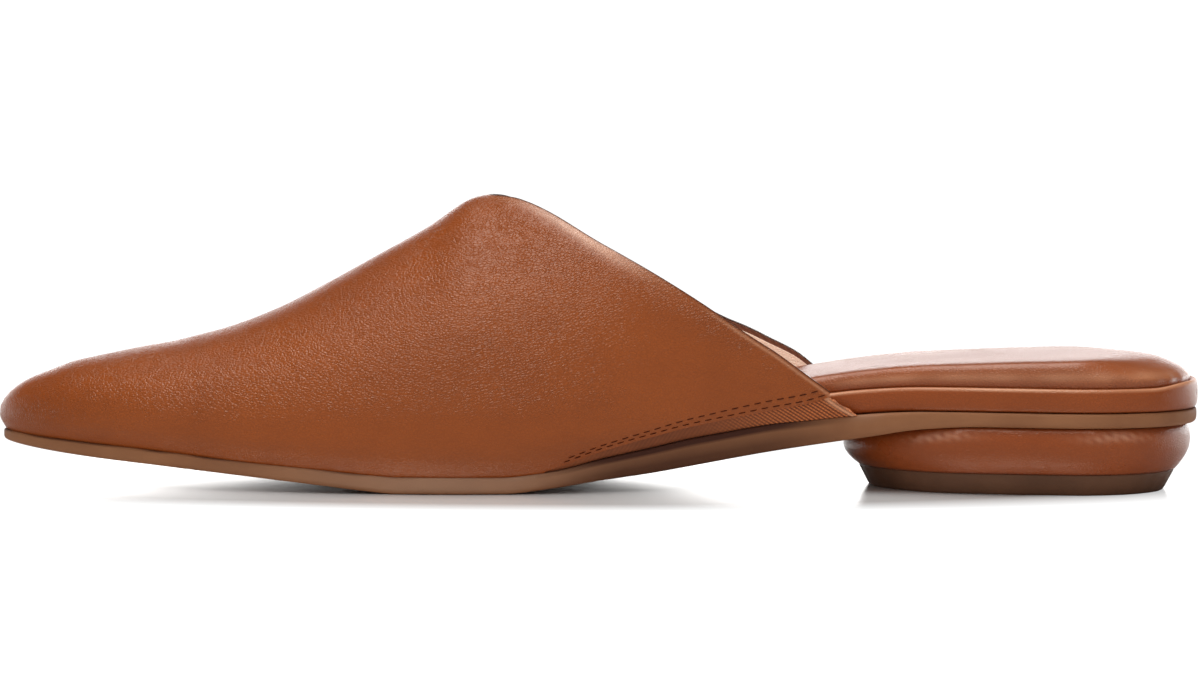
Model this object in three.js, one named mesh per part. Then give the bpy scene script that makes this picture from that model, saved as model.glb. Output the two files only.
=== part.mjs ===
import * as THREE from "three";

// Mule shoe with a low covered heel. Millimetres. X runs across the shoe, Y from the toe (-) to the
// heel (+), Z up from the floor. Tables give one row per section, with s measured back from the toe tip.

const LENGTH = 262;
const TOE_Y = -LENGTH / 2;
const GAP = 0.3; // clearance between pieces that touch
const WALL = 1.6; // upper leather with its lining
const TOE_ROUND = 40; // length over which the toe closes to its tip
const HEEL_ROUND = 30; // length over which the heel end closes
const SOLE_TIP = 1; // the sole starts this far behind the tip of the upper
const SOLE_END = 261.7;
const FEATHER_INSET = { front: 0.3, wings: -0.25 }; // lower edge of the upper, inside the edge of the sole

// Bottom outline: position of its centre line and half width.
const OUTLINE = [
  { s: 0, centre: 5, half: 18.5 },
  { s: 20, centre: 4.4, half: 24 },
  { s: 40, centre: 3.7, half: 28.9 },
  { s: 62, centre: 2.6, half: 34.2 },
  { s: 80, centre: 1.4, half: 37.4 },
  { s: 98, centre: 0, half: 38.9 },
  { s: 116, centre: -1.6, half: 37.5 },
  { s: 135, centre: -3.1, half: 33.2 },
  { s: 150, centre: -3.8, half: 29.6 },
  { s: 166, centre: -3.4, half: 27.1 },
  { s: 182, centre: -2.6, half: 26.7 },
  { s: 200, centre: -1.3, half: 27.8 },
  { s: 220, centre: 0, half: 29.4 },
  { s: 236, centre: 0.7, half: 30 },
  { s: 262, centre: 1, half: 30 },
];

// Side profile of the outsole: height of its tread over the floor, and its thickness.
const PROFILE = [
  { s: 0, tread: 8.7, thick: 2.4 },
  { s: 9, tread: 7.5, thick: 2.7 },
  { s: 20, tread: 6.4, thick: 3.1 },
  { s: 35, tread: 5.2, thick: 3.2 },
  { s: 54, tread: 3.4, thick: 3.1 },
  { s: 71, tread: 1.7, thick: 3.4 },
  { s: 82, tread: 0.5, thick: 3.6 },
  { s: 88, tread: 0, thick: 3.7 },
  { s: 110, tread: 0, thick: 3.7 },
  { s: 120, tread: 1, thick: 3.7 },
  { s: 132, tread: 2.6, thick: 4.8 },
  { s: 142, tread: 3.9, thick: 5.6 },
  { s: 152, tread: 5.6, thick: 6.1 },
  { s: 166, tread: 8.2, thick: 6.1 },
  { s: 178, tread: 10.3, thick: 5.5 },
  { s: 188, tread: 12, thick: 5 },
  { s: 201, tread: 14.1, thick: 3.8 },
  { s: 214, tread: 14.8, thick: 3.2 },
  { s: 262, tread: 14.8, thick: 3.2 },
];

const WAIST = { start: 112, end: 192, blend: 26, depth: 2.4 };

// Crest of the upper. Behind the peak it carries on as the crest of the last, which the collar cuts.
const CREST = [
  { s: 0, z: 23.4 },
  { s: 5, z: 24.1 },
  { s: 10, z: 24.4 },
  { s: 16, z: 25.7 },
  { s: 22, z: 27 },
  { s: 32, z: 29.1 },
  { s: 38, z: 30.2 },
  { s: 43, z: 31.5 },
  { s: 49, z: 33.1 },
  { s: 60, z: 37.4 },
  { s: 71, z: 43.1 },
  { s: 82, z: 49.3 },
  { s: 93, z: 55.5 },
  { s: 103, z: 62.1 },
  { s: 107, z: 63.1 },
  { s: 110, z: 64.2 },
  { s: 114, z: 65.7 },
  { s: 120, z: 67.4 },
  { s: 131, z: 70.4 },
  { s: 142, z: 73.4 },
  { s: 165, z: 79 },
  { s: 192, z: 85 },
];

// Side walls: depth from the widest line down to the sole, how far the wall stands out past the sole,
// how full the section is above that line, and how far the crest sits to the inner side of the centre.
const WALLS = [
  { s: 0, depth: 3, bulge: 1, full: 0.12, lean: 0 },
  { s: 25, depth: 3.6, bulge: 1.5, full: 0.12, lean: 0.5 },
  { s: 50, depth: 4.6, bulge: 1.8, full: 0.06, lean: 1.5 },
  { s: 75, depth: 5.6, bulge: 2, full: -0.04, lean: 2 },
  { s: 98, depth: 6.2, bulge: 2.1, full: -0.14, lean: 2 },
  { s: 120, depth: 6, bulge: 2.1, full: -0.18, lean: 2.5 },
  { s: 150, depth: 5.4, bulge: 1.9, full: -0.1, lean: 3 },
  { s: 170, depth: 4.9, bulge: 1.7, full: 0, lean: 3 },
  { s: 190, depth: 4.6, bulge: 1.6, full: 0, lean: 3 },
];

// Height of the collar edge on the inner and the outer side, from the peak back to the wing ends.
const COLLAR = [
  { s: 106.5, inner: 63, outer: 63 },
  { s: 109, inner: 63, outer: 62.7 },
  { s: 112, inner: 62.8, outer: 61.7 },
  { s: 115, inner: 62.1, outer: 60.2 },
  { s: 120, inner: 60.2, outer: 57.2 },
  { s: 131, inner: 54, outer: 50.2 },
  { s: 142, inner: 47.5, outer: 43.6 },
  { s: 153, inner: 40.7, outer: 37.6 },
  { s: 159, inner: 36.7, outer: 34.6 },
  { s: 164, inner: 33.4, outer: 32.6 },
  { s: 169, inner: 30.3, outer: 30.2 },
  { s: 175, inner: 26, outer: 27.2 },
  { s: 180.6, inner: 22, outer: 22.8 },
];

// Lower edge of the vamp over the gore, as a share of the depth below the widest line.
const GORE_TOP = [
  { s: 119, share: 0 },
  { s: 126, share: 0.15 },
  { s: 134, share: 0.29 },
  { s: 144, share: 0.41 },
  { s: 157, share: 0.5 },
  { s: 166, share: 0.57 },
  { s: 172, share: 0.65 },
  { s: 176, share: 0.75 },
  { s: 180.6, share: 0.95 },
];
const GORE_START = 124;
const GORE_RECESS = 0.5; // the elastic lies this far under the face of the leather
const GORE_WALL = 1.2;
const WING_END = 180.6;
const WING_RAKE = { start: 148, shift: 5.3 }; // the wing ends slope down and back to the sole

// Platform (wrapped insole board) and footbed heights along the shoe.
const INSOLE = [
  { s: 0, board: 2.4, cushion: 2.2 },
  { s: 98, board: 2.6, cushion: 2.4 },
  { s: 150, board: 3.4, cushion: 2.8 },
  { s: 176, board: 4.8, cushion: 3.6 },
  { s: 188, board: 5, cushion: 3.9 },
  { s: 205, board: 5, cushion: 4.6 },
  { s: 225, board: 5, cushion: 5.5 },
  { s: 243, board: 5, cushion: 6 },
  { s: 262, board: 5, cushion: 6 },
];
const INSOLE_TIP = 5;
const INSOLE_INSIDE = 2.7; // inset of the platform where it lies inside the upper
const INSOLE_FLARE = { start: 172, end: 210 }; // from the wings back it widens to the edge of the sole
const LEDGE = 1.8; // the footbed stands this far inside the platform
const CUSHION_FRONT = 0.25; // under the toes the footbed's sloped rim is this much narrower
const CUSHION_BACK = { start: 236, end: 256 }; // here the rim takes on its gentler slope at the back

const HEEL = { front: 184.8, end: 260.3, frontRound: 24, endRound: 28, seat: 1.5 };
const LIFT_HEIGHT = 4.6;
const LIFT_INSET = { top: 3.2, floor: 5.3 };

const MATERIALS = {
  leather: { color: 0x8b4828, roughness: 0.45 },
  insoleLeather: { color: 0x9a5836, roughness: 0.5 },
  elastic: { color: 0x74401f, roughness: 0.85 },
  soleRubber: { color: 0x7e5a42, roughness: 0.7 },
  liftRubber: { color: 0x55392a, roughness: 0.8 },
};

const lerp = (a, b, t) => a + (b - a) * t;
const clamp = (value, low, high) => Math.min(high, Math.max(low, value));
const dome = (q) => Math.sqrt(1 - (1 - clamp(q, 0, 1)) ** 2);
const smooth = (t) => clamp(t, 0, 1) ** 2 * (3 - 2 * clamp(t, 0, 1));

// Smooth curve through one column of a table, without overshoot between the rows.
function curve(table, column) {
  const s = table.map((row) => row.s);
  const v = table.map((row) => row[column]);
  const secant = (i) => (v[i + 1] - v[i]) / (s[i + 1] - s[i]);
  const slope = (i) => {
    if (i === 0) return secant(0);
    if (i === s.length - 1) return secant(i - 1);
    const [a, b] = [secant(i - 1), secant(i)];
    return a * b <= 0 ? 0 : (2 * a * b) / (a + b);
  };
  const slopes = s.map((_, i) => slope(i));
  return (at) => {
    const x = clamp(at, s[0], s[s.length - 1]);
    const i = Math.min(s.length - 2, Math.max(0, s.findIndex((value) => value > x) - 1));
    const span = s[i + 1] - s[i];
    const t = (x - s[i]) / span;
    const start = v[i] * (1 + 2 * t) * (1 - t) ** 2 + slopes[i] * span * t * (1 - t) ** 2;
    const stop = v[i + 1] * t * t * (3 - 2 * t) + slopes[i + 1] * span * t * t * (t - 1);
    return x >= s[s.length - 1] ? v[s.length - 1] : start + stop;
  };
}

const centreAt = curve(OUTLINE, "centre");
const halfAt = curve(OUTLINE, "half");
const treadAt = curve(PROFILE, "tread");
const thickAt = curve(PROFILE, "thick");
const crestAt = curve(CREST, "z");
const depthAt = curve(WALLS, "depth");
const bulgeAt = curve(WALLS, "bulge");
const fullAt = curve(WALLS, "full");
const leanAt = curve(WALLS, "lean");
const collarAt = { inner: curve(COLLAR, "inner"), outer: curve(COLLAR, "outer") };
const goreShareAt = curve(GORE_TOP, "share");
const boardAt = curve(INSOLE, "board");
const cushionAt = curve(INSOLE, "cushion");

const soleTopAt = (s) => treadAt(s) + thickAt(s);
const featherAt = (s) => soleTopAt(s) + GAP;
const platformTopAt = (s) => soleTopAt(s) + GAP + boardAt(s);

// ---- solids -------------------------------------------------------------------------------------

function signedVolume(points, faces) {
  return faces.reduce((sum, [a, b, c]) => {
    const normal = new THREE.Vector3().crossVectors(points[b], points[c]);
    return sum + points[a].dot(normal) / 6;
  }, 0);
}

// A named mesh from points and triangles, wound so that its faces look outwards.
function makeMesh(name, points, faces, finish) {
  const outward = signedVolume(points, faces) > 0;
  const geometry = new THREE.BufferGeometry();
  geometry.setAttribute("position", new THREE.Float32BufferAttribute(points.flatMap((p) => p.toArray()), 3));
  geometry.setIndex(faces.flatMap(([a, b, c]) => (outward ? [a, b, c] : [a, c, b])));
  geometry.computeVertexNormals();
  const material = new THREE.MeshStandardMaterial({ ...finish, metalness: 0, flatShading: true });
  material.name = name;
  const mesh = new THREE.Mesh(geometry, material);
  mesh.name = name;
  return mesh;
}

const quad = (a, b, c, d) => [
  [a, b, c],
  [a, c, d],
];

// Stations along s, close together towards both ends.
function stations(tip, end, count) {
  const zone = 0.15;
  const reach = (t) => {
    if (t < zone) return (t * t) / (2 * zone);
    return t > 1 - zone ? 1 - zone - ((1 - t) * (1 - t)) / (2 * zone) : t - zone / 2;
  };
  return Array.from({ length: count + 1 }, (_, i) => tip + ((end - tip) * reach(i / count)) / reach(1));
}

// Closed outline in plan, from the tip along the inner side to the end and back along the outer side.
function outlineRing(centre, half, at) {
  const inner = at.map((s) => new THREE.Vector3(centre(s) + half(s), s, 0));
  const outer = at.slice(1, -1).map((s) => new THREE.Vector3(centre(s) - half(s), s, 0));
  return [...inner, ...outer.reverse()];
}

// The same outline moved inwards square to itself by inset(s), its height set by height(s).
function insetRing(ring, inset, height) {
  return ring.map((point, i) => {
    const before = ring[(i + ring.length - 1) % ring.length];
    const after = ring[(i + 1) % ring.length];
    const along = new THREE.Vector3().subVectors(after, before).normalize();
    const amount = inset(point.y);
    const x = point.x - along.y * amount;
    const s = point.y + along.x * amount;
    return new THREE.Vector3(x, s, height(s));
  });
}

// Solid from rings of equal count laid one over the next, closed by cross strips at bottom and top.
function stackRings(name, rings, finish) {
  const count = rings[0].length;
  const points = rings.flat().map((p) => new THREE.Vector3(p.x, p.y + TOE_Y, p.z));
  const faces = [];
  for (let k = 0; k + 1 < rings.length; k += 1) {
    for (let i = 0; i < count; i += 1) {
      const next = (i + 1) % count;
      faces.push(...quad(k * count + i, k * count + next, (k + 1) * count + next, (k + 1) * count + i));
    }
  }
  const cap = (start, turned) => {
    for (let i = 0; i < count / 2; i += 1) {
      const corners = [i, i + 1, count - i - 1, (count - i) % count].map((n) => start + n);
      const strip = quad(...corners).filter((face) => new Set(face).size === 3);
      faces.push(...strip.map(([a, b, c]) => (turned ? [a, c, b] : [a, b, c])));
    }
  };
  cap(0, true);
  cap((rings.length - 1) * count, false);
  return makeMesh(name, points, faces, finish);
}

// ---- sole, platform, footbed, heel --------------------------------------------------------------

const bottomHalf = (tip, end) => (s) =>
  halfAt(s) * dome((s - tip) / TOE_ROUND) * dome((end - s) / HEEL_ROUND);

// At the waist the edge of the sole leans in towards its tread.
function undercut(s) {
  const { start, end, blend, depth } = WAIST;
  return depth * smooth((s - start) / blend) * smooth((end - s) / blend);
}

function makeOutsole() {
  const ring = outlineRing(centreAt, bottomHalf(SOLE_TIP, SOLE_END), stations(SOLE_TIP, SOLE_END, 48));
  const edge = [
    { inset: 0.9, up: 0 },
    { inset: 0.25, up: 0.18 },
    { inset: 0, up: 0.5 },
    { inset: 0, up: 0.8 },
    { inset: 0.45, up: 1 },
  ];
  const rings = edge.map(({ inset, up }) =>
    insetRing(ring, (s) => inset + undercut(s) * (1 - up), (s) => treadAt(s) + thickAt(s) * up),
  );
  return stackRings("outsole", rings, MATERIALS.soleRubber);
}

// Inset of the platform: clear of the upper's wall in front, out to the edge of the sole behind the wings.
const platformInset = (s) => {
  const { start, end } = INSOLE_FLARE;
  return lerp(INSOLE_INSIDE, 0, smooth((s - start) / (end - start)));
};

function platformOutline(extra) {
  const tip = INSOLE_TIP;
  const half = (s) => bottomHalf(tip - INSOLE_INSIDE, LENGTH)(s);
  const ring = outlineRing(centreAt, half, stations(tip - INSOLE_INSIDE, LENGTH, 60));
  return (inset, height) => insetRing(ring, (s) => platformInset(s) + inset(s) + extra, height);
}

function makePlatform() {
  const edge = [
    { inset: 1.6, up: 0 },
    { inset: 0.5, up: 0.12 },
    { inset: 0, up: 0.4 },
    { inset: 0, up: 0.65 },
    { inset: 0.3, up: 0.9 },
    { inset: 1.1, up: 1 },
  ];
  const ringAt = platformOutline(0);
  const rings = edge.map(({ inset, up }) =>
    ringAt(() => inset, (s) => soleTopAt(s) + GAP + boardAt(s) * up),
  );
  return stackRings("platform", rings, MATERIALS.leather);
}

function makeFootbed() {
  const profile = [
    { side: 0.4, back: 0.5, up: 0 },
    { side: 0, back: 0.1, up: 0.16 },
    { side: 0, back: 0.8, up: 0.34 },
    { side: 0.15, back: 2.2, up: 0.54 },
    { side: 0.5, back: 4.8, up: 0.73 },
    { side: 1.4, back: 7.6, up: 0.89 },
    { side: 3.4, back: 10, up: 0.965 },
    { side: 10, back: 14, up: 1 },
  ];
  const ringAt = platformOutline(LEDGE);
  const narrowing = (s) => lerp(CUSHION_FRONT, 1, smooth((s - 60) / 110));
  const atBack = (s) => smooth((s - CUSHION_BACK.start) / (CUSHION_BACK.end - CUSHION_BACK.start));
  const rings = profile.map(({ side, back, up }) => {
    const inset = (s) => lerp(side * narrowing(s), back, atBack(s));
    return ringAt(inset, (s) => platformTopAt(s) + GAP + cushionAt(s) * up);
  });
  return stackRings("footbed", rings, MATERIALS.insoleLeather);
}

function heelOutline() {
  const { front, end, frontRound, endRound } = HEEL;
  const half = (s) => halfAt(s) * dome((s - front) / frontRound) * dome((end - s) / endRound);
  return outlineRing(centreAt, half, stations(front, end, 30));
}

function makeHeel() {
  const steps = 9;
  const ring = heelOutline();
  const rings = Array.from({ length: steps + 1 }, (_, i) => {
    const up = i / steps;
    const foot = (LIFT_INSET.top - 0.2) * (1 - clamp(up / 0.64, 0, 1)) ** 2;
    const head = HEEL.seat * (1 - dome((1 - up) / 0.35));
    const height = (s) => lerp(LIFT_HEIGHT + GAP, treadAt(s) - GAP, up);
    return insetRing(ring, () => foot + head, height);
  });
  return stackRings("heel", rings, MATERIALS.leather);
}

function makeTopLift() {
  const ring = heelOutline();
  const edge = [
    { inset: LIFT_INSET.floor + 0.5, z: 0 },
    { inset: LIFT_INSET.floor, z: 0.5 },
    { inset: LIFT_INSET.top + 0.2, z: LIFT_HEIGHT - 0.5 },
    { inset: LIFT_INSET.top + 0.3, z: LIFT_HEIGHT },
  ];
  const rings = edge.map(({ inset, z }) => insetRing(ring, () => inset, () => z));
  return stackRings("top_lift", rings, MATERIALS.liftRubber);
}

// ---- upper --------------------------------------------------------------------------------------

const NOSE = 12; // radius that turns distance over the toe into distance along the shoe
const CREST_ROUND = 18; // length over which the crest drops to the toe tip
const TIP_BLEND = 40; // length over which the lower edge lines up with the widest line
const sideSign = { inner: 1, outer: -1 };

const widestZ = (s) => featherAt(s) + depthAt(s);
const widestHalf = (s) => (halfAt(s) + bulgeAt(s)) * dome(s / TOE_ROUND);
const crestX = (s) => centreAt(s) + leanAt(s) * dome(s / TIP_BLEND);
const crestZ = (s) => widestZ(s) + (crestAt(s) - widestZ(s)) * dome(s / CREST_ROUND);

// Point over the widest line, at the angle turn (0 on that line, a quarter turn on the crest).
function domePoint(side, s, turn) {
  const edge = centreAt(s) + sideSign[side] * widestHalf(s);
  const reach = Math.cos(turn) * (1 + fullAt(s) * Math.sin(turn) ** 2);
  const x = crestX(s) + (edge - crestX(s)) * reach;
  return new THREE.Vector3(x, s, lerp(widestZ(s), crestZ(s), Math.sin(turn)));
}

// Point between the lower edge (share 0) and the widest line (share 1).
function skirtPoint(side, s, share) {
  const rake = WING_RAKE.shift * smooth((s - WING_RAKE.start) / (WING_END - WING_RAKE.start));
  const tip = SOLE_TIP + FEATHER_INSET.front;
  const foot = s + tip * (1 - clamp(s / TIP_BLEND, 0, 1)) ** 2;
  const out = Math.sin((share * Math.PI) / 2);
  const at = lerp(foot, s, out) + rake * (1 - share) ** 1.5;
  const inset = lerp(FEATHER_INSET.front, FEATHER_INSET.wings, smooth((s - WING_RAKE.start) / 30));
  const footEdge = halfAt(at) * dome((foot - tip) / TOE_ROUND) - inset;
  const half = lerp(Math.max(footEdge, 0), (halfAt(at) + bulgeAt(at)) * dome(s / TOE_ROUND), out);
  const z = featherAt(at) + depthAt(at) * share;
  return new THREE.Vector3(centreAt(at) + sideSign[side] * half, at, z);
}

// The upper laid out flat: u runs round the lower edge, v up from the widest line. The toe tip is 0, 0
// and the crest is the line u = 0.
const spread = (s) => Math.sqrt(s * s + 2 * NOSE * s);
const gather = (distance) => Math.sqrt(NOSE * NOSE + distance * distance) - NOSE;

function flatPoint(u, v) {
  const side = u < 0 ? "outer" : "inner";
  return domePoint(side, gather(Math.hypot(u, v)), Math.atan2(v, Math.abs(u)));
}

// Collar edge in the flat layout, as [u, v] pairs from the peak to the wing end.
function collarEdge(side) {
  return stations(COLLAR[0].s, WING_END, 60).map((s) => {
    const rise = (collarAt[side](s) - widestZ(s)) / (crestZ(s) - widestZ(s));
    const turn = s === COLLAR[0].s ? Math.PI / 2 : Math.asin(clamp(rise, 0, 1));
    return [spread(s) * Math.cos(turn), spread(s) * Math.sin(turn)];
  });
}

const collarEdges = { inner: collarEdge("inner"), outer: collarEdge("outer") };

function collarHeight(side, u) {
  const edge = collarEdges[side];
  const i = clamp(edge.findIndex(([at]) => at >= u), 1, edge.length - 1);
  const from = edge[i - 1];
  const to = edge[i];
  return lerp(from[1], to[1], clamp((u - from[0]) / (to[0] - from[0]), 0, 1));
}

// Closed shell from a grid of outer points: the inner face lies one wall inside, the rims join the two.
function shellFromGrid(name, grid, wall, finish) {
  const rows = grid.length;
  const columns = grid[0].length;
  const normals = grid.map((row) => row.map(() => new THREE.Vector3()));
  for (let j = 0; j + 1 < rows; j += 1) {
    for (let i = 0; i + 1 < columns; i += 1) {
      const across = new THREE.Vector3().subVectors(grid[j + 1][i + 1], grid[j][i]);
      const along = new THREE.Vector3().subVectors(grid[j][i + 1], grid[j + 1][i]);
      const face = along.cross(across).normalize();
      const corners = [normals[j][i], normals[j][i + 1], normals[j + 1][i], normals[j + 1][i + 1]];
      corners.forEach((corner) => corner.add(face));
    }
  }
  const inside = grid.map((row, j) =>
    row.map((p, i) => p.clone().addScaledVector(normals[j][i].normalize(), -wall)),
  );
  const points = [...grid.flat(), ...inside.flat()].map((p) => new THREE.Vector3(p.x, p.y + TOE_Y, p.z));
  const total = rows * columns;
  const id = (j, i) => j * columns + i;
  const faces = [];
  for (let j = 0; j + 1 < rows; j += 1) {
    for (let i = 0; i + 1 < columns; i += 1) {
      const corners = [id(j, i), id(j, i + 1), id(j + 1, i + 1), id(j + 1, i)];
      faces.push(...quad(...corners));
      faces.push(...quad(...corners.map((n) => n + total).reverse()));
    }
  }
  const rim = (a, b) => faces.push(...quad(b, a, a + total, b + total));
  for (let i = 0; i + 1 < columns; i += 1) {
    rim(id(0, i), id(0, i + 1));
    rim(id(rows - 1, i + 1), id(rows - 1, i));
  }
  for (let j = 0; j + 1 < rows; j += 1) {
    rim(id(j + 1, 0), id(j, 0));
    rim(id(j, columns - 1), id(j + 1, columns - 1));
  }
  return makeMesh(name, points, faces, finish);
}

const VAMP_GRID = { columns: 76, skirt: 3, dome: 12 };

function makeVamp() {
  const reach = { inner: collarEdges.inner.at(-1)[0], outer: collarEdges.outer.at(-1)[0] };
  const column = (i) => {
    const along = (2 * i) / VAMP_GRID.columns - 1;
    const side = along < 0 ? "outer" : "inner";
    const u = Math.abs(along) * reach[side];
    return { side, u, s: gather(u) };
  };
  const columns = Array.from({ length: VAMP_GRID.columns + 1 }, (_, i) => column(i));
  const skirt = Array.from({ length: VAMP_GRID.skirt }, (_, j) =>
    columns.map(({ side, s }) => {
      const low = side === "inner" ? goreShareAt(s) : 0;
      return skirtPoint(side, s, lerp(low, 1, j / VAMP_GRID.skirt));
    }),
  );
  const crown = Array.from({ length: VAMP_GRID.dome + 1 }, (_, j) =>
    columns.map(({ side, u }) => {
      const v = (collarHeight(side, u) * j) / VAMP_GRID.dome;
      return flatPoint(u * sideSign[side], v);
    }),
  );
  return shellFromGrid("vamp", [...skirt, ...crown], WALL, MATERIALS.leather);
}

function makeGore() {
  const rows = 3;
  const lengthwise = 26;
  const face = (s, share) => {
    const point = skirtPoint("inner", s, share);
    return point.setX(point.x - GORE_RECESS);
  };
  const grid = Array.from({ length: rows + 1 }, (_, j) =>
    Array.from({ length: lengthwise + 1 }, (_unused, i) => {
      const s = lerp(GORE_START, WING_END, i / lengthwise);
      const top = goreShareAt(s) - GAP / depthAt(s);
      return face(s, (top * j) / rows);
    }),
  );
  return shellFromGrid("gore", grid, GORE_WALL, MATERIALS.elastic);
}

const shoe = new THREE.Group();
shoe.name = "mule_shoe";
shoe.add(
  makeOutsole(),
  makeVamp(),
  makePlatform(),
  makeFootbed(),
  makeGore(),
  makeHeel(),
  makeTopLift(),
);

export default shoe;
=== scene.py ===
"""Looks of a backless leather shoe: moulded vamp, elastic insert, padded footbed, covered oval heel.

Lengths are millimetres unless a name or docstring says otherwise, and meshes are written in metres. s is
measured back from the toe tip, and x is above 0 on the inner side of the foot.
"""

import logging
import math
from collections.abc import Callable
from dataclasses import dataclass
from enum import Enum

import bpy
import numpy as np
from mathutils import Matrix, Vector

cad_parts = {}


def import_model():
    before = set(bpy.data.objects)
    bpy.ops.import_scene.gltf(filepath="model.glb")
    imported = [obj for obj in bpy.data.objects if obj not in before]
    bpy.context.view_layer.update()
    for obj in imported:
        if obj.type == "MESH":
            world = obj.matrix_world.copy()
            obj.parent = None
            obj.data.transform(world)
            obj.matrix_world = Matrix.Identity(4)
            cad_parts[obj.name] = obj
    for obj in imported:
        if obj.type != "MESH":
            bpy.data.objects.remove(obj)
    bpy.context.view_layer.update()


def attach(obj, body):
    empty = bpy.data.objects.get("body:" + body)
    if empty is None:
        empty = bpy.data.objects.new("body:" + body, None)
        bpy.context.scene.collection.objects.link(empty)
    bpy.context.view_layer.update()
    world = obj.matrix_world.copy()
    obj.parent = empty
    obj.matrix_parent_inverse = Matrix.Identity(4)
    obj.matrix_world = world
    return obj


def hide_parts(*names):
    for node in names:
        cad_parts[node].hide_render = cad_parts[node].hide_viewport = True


Number = float | np.ndarray
Curve = Callable[[Number], Number]
RingHeights = Callable[[np.ndarray, int], np.ndarray]
Profile = tuple[tuple[float, float], ...]
Colour = tuple[float, float, float, float]
Triple = tuple[float, float, float]
Socket = bpy.types.NodeSocket

MM = 0.001  # metres in a millimetre
LENGTH = 262.0
TOE_Y = -LENGTH / 2  # y where s is 0
GAP = 0.3  # left between pieces that touch
TOE_ROUND = 40.0  # length over which the plan closes at the toe
HEEL_ROUND = 30.0  # length over which it closes at the heel
SOLE_TIP = 1.0  # section where the outsole starts
SOLE_END = 261.7  # section where it ends
BODY = "root"

log = logging.getLogger("mule")


class Side(Enum):
    """Side of the foot, with the sign of x on it."""

    INNER = 1
    OUTER = -1


# ---- numbers ------------------------------------------------------------------------------------


def lerp(a: Number, b: Number, t: Number) -> Number:
    """Goes from a to b as t goes from 0 to 1."""
    return a + (b - a) * t


def dome(q: Number) -> Number:
    """Quarter circle: 0 at q = 0, 1 from q = 1 on."""
    return np.sqrt(1.0 - (1.0 - np.clip(q, 0.0, 1.0)) ** 2)


def smooth(t: Number) -> Number:
    """Soft step from 0 to 1 over t = 0 to 1."""
    t = np.clip(t, 0.0, 1.0)
    return t * t * (3.0 - 2.0 * t)


def hump(x: Number, centre: Number, width: float) -> Number:
    """Soft bell of height 1 at centre, falling to a third one width away."""
    return np.exp(-(((x - centre) / width) ** 2))


def unit(v: np.ndarray) -> np.ndarray:
    """Vectors scaled to length 1 along the last axis."""
    return v / np.maximum(np.linalg.norm(v, axis=-1, keepdims=True), 1e-12)


@dataclass(frozen=True)
class Bell:
    """A band that is strongest at its centre."""

    centre: float
    width: float
    strength: float = 1.0

    def __call__(self, x: Number) -> Number:
        """Strength times a soft bell at x."""
        return self.strength * hump(x, self.centre, self.width)


@dataclass(frozen=True)
class Ramp:
    """A soft rise that begins at start and is over one length on; below 0 the length runs the other way."""

    start: float
    length: float
    strength: float = 1.0

    def __call__(self, x: Number) -> Number:
        """Strength times a soft step at x."""
        return self.strength * smooth((x - self.start) / self.length)


@dataclass(frozen=True)
class Wave:
    """A gentle wave along an edge; length is the stretch that one radian takes."""

    height: float
    length: float
    shift: float = 0.0

    def __call__(self, run: Number) -> Number:
        """Height times a sine of the run."""
        return self.height * np.sin(run / self.length + self.shift)


class Table:
    """Rows of named columns, each column read as a smooth curve of the first one."""

    def __init__(self, columns: str, *rows: tuple[float, ...]) -> None:
        """Keeps the rows.

        Args:
            columns: column names parted by spaces, the one that the others are read against first.
            rows: one row per station.
        """
        self.columns = columns.split()
        self.rows = np.array(rows, float)

    def curve(self, column: str) -> Curve:
        """Curve through one column that never overshoots its rows.

        A cubic joins each pair of rows. Its slope at a row is the harmonic mean of the slopes on both sides,
        and 0 where they differ in sign.

        Args:
            column: name of the column.

        Returns:
            Function from the first column to this one.
        """
        x = self.rows[:, 0]
        y = self.rows[:, self.columns.index(column)]
        secant = np.diff(y) / np.diff(x)
        product = secant[:-1] * secant[1:]
        total = np.where(secant[:-1] + secant[1:] == 0.0, 1.0, secant[:-1] + secant[1:])
        inner = np.where(product > 0.0, 2.0 * product / total, 0.0)
        slope = np.concatenate([secant[:1], inner, secant[-1:]])

        def at(s: Number) -> Number:
            """Value of the column, held at the first and last rows outside them.

            Args:
                s: value of the first column.

            Returns:
                Value of this column.
            """
            s = np.clip(s, x[0], x[-1])
            i = np.clip(np.searchsorted(x, s, side="right") - 1, 0, len(x) - 2)
            span = x[i + 1] - x[i]
            t = (s - x[i]) / span
            start = y[i] * (1 + 2 * t) * (1 - t) ** 2 + slope[i] * span * t * (1 - t) ** 2
            stop = y[i + 1] * t * t * (3 - 2 * t) + slope[i + 1] * span * t * t * (t - 1)
            return start + stop

        return at


# Plan of the sole: its middle line and half width.
OUTLINE = Table(
    "s centre half",
    (0, 5, 18.5),
    (20, 4.4, 24),
    (40, 3.7, 28.9),
    (62, 2.6, 34.2),
    (80, 1.4, 37.4),
    (98, 0, 38.9),
    (116, -1.6, 37.5),
    (135, -3.1, 33.2),
    (150, -3.8, 29.6),
    (166, -3.4, 27.1),
    (182, -2.6, 26.7),
    (200, -1.3, 27.8),
    (220, 0, 29.4),
    (236, 0.7, 30),
    (262, 1, 30),
)
# Side view of the sole: height of its tread and its thickness.
PROFILE = Table(
    "s tread thick",
    (0, 8.7, 2.4),
    (9, 7.5, 2.7),
    (20, 6.4, 3.1),
    (35, 5.2, 3.2),
    (54, 3.4, 3.1),
    (71, 1.7, 3.4),
    (82, 0.5, 3.6),
    (88, 0, 3.7),
    (110, 0, 3.7),
    (120, 1, 3.7),
    (132, 2.6, 4.8),
    (142, 3.9, 5.6),
    (152, 5.6, 6.1),
    (166, 8.2, 6.1),
    (178, 10.3, 5.5),
    (188, 12, 5),
    (201, 14.1, 3.8),
    (214, 14.8, 3.2),
    (262, 14.8, 3.2),
)
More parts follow.
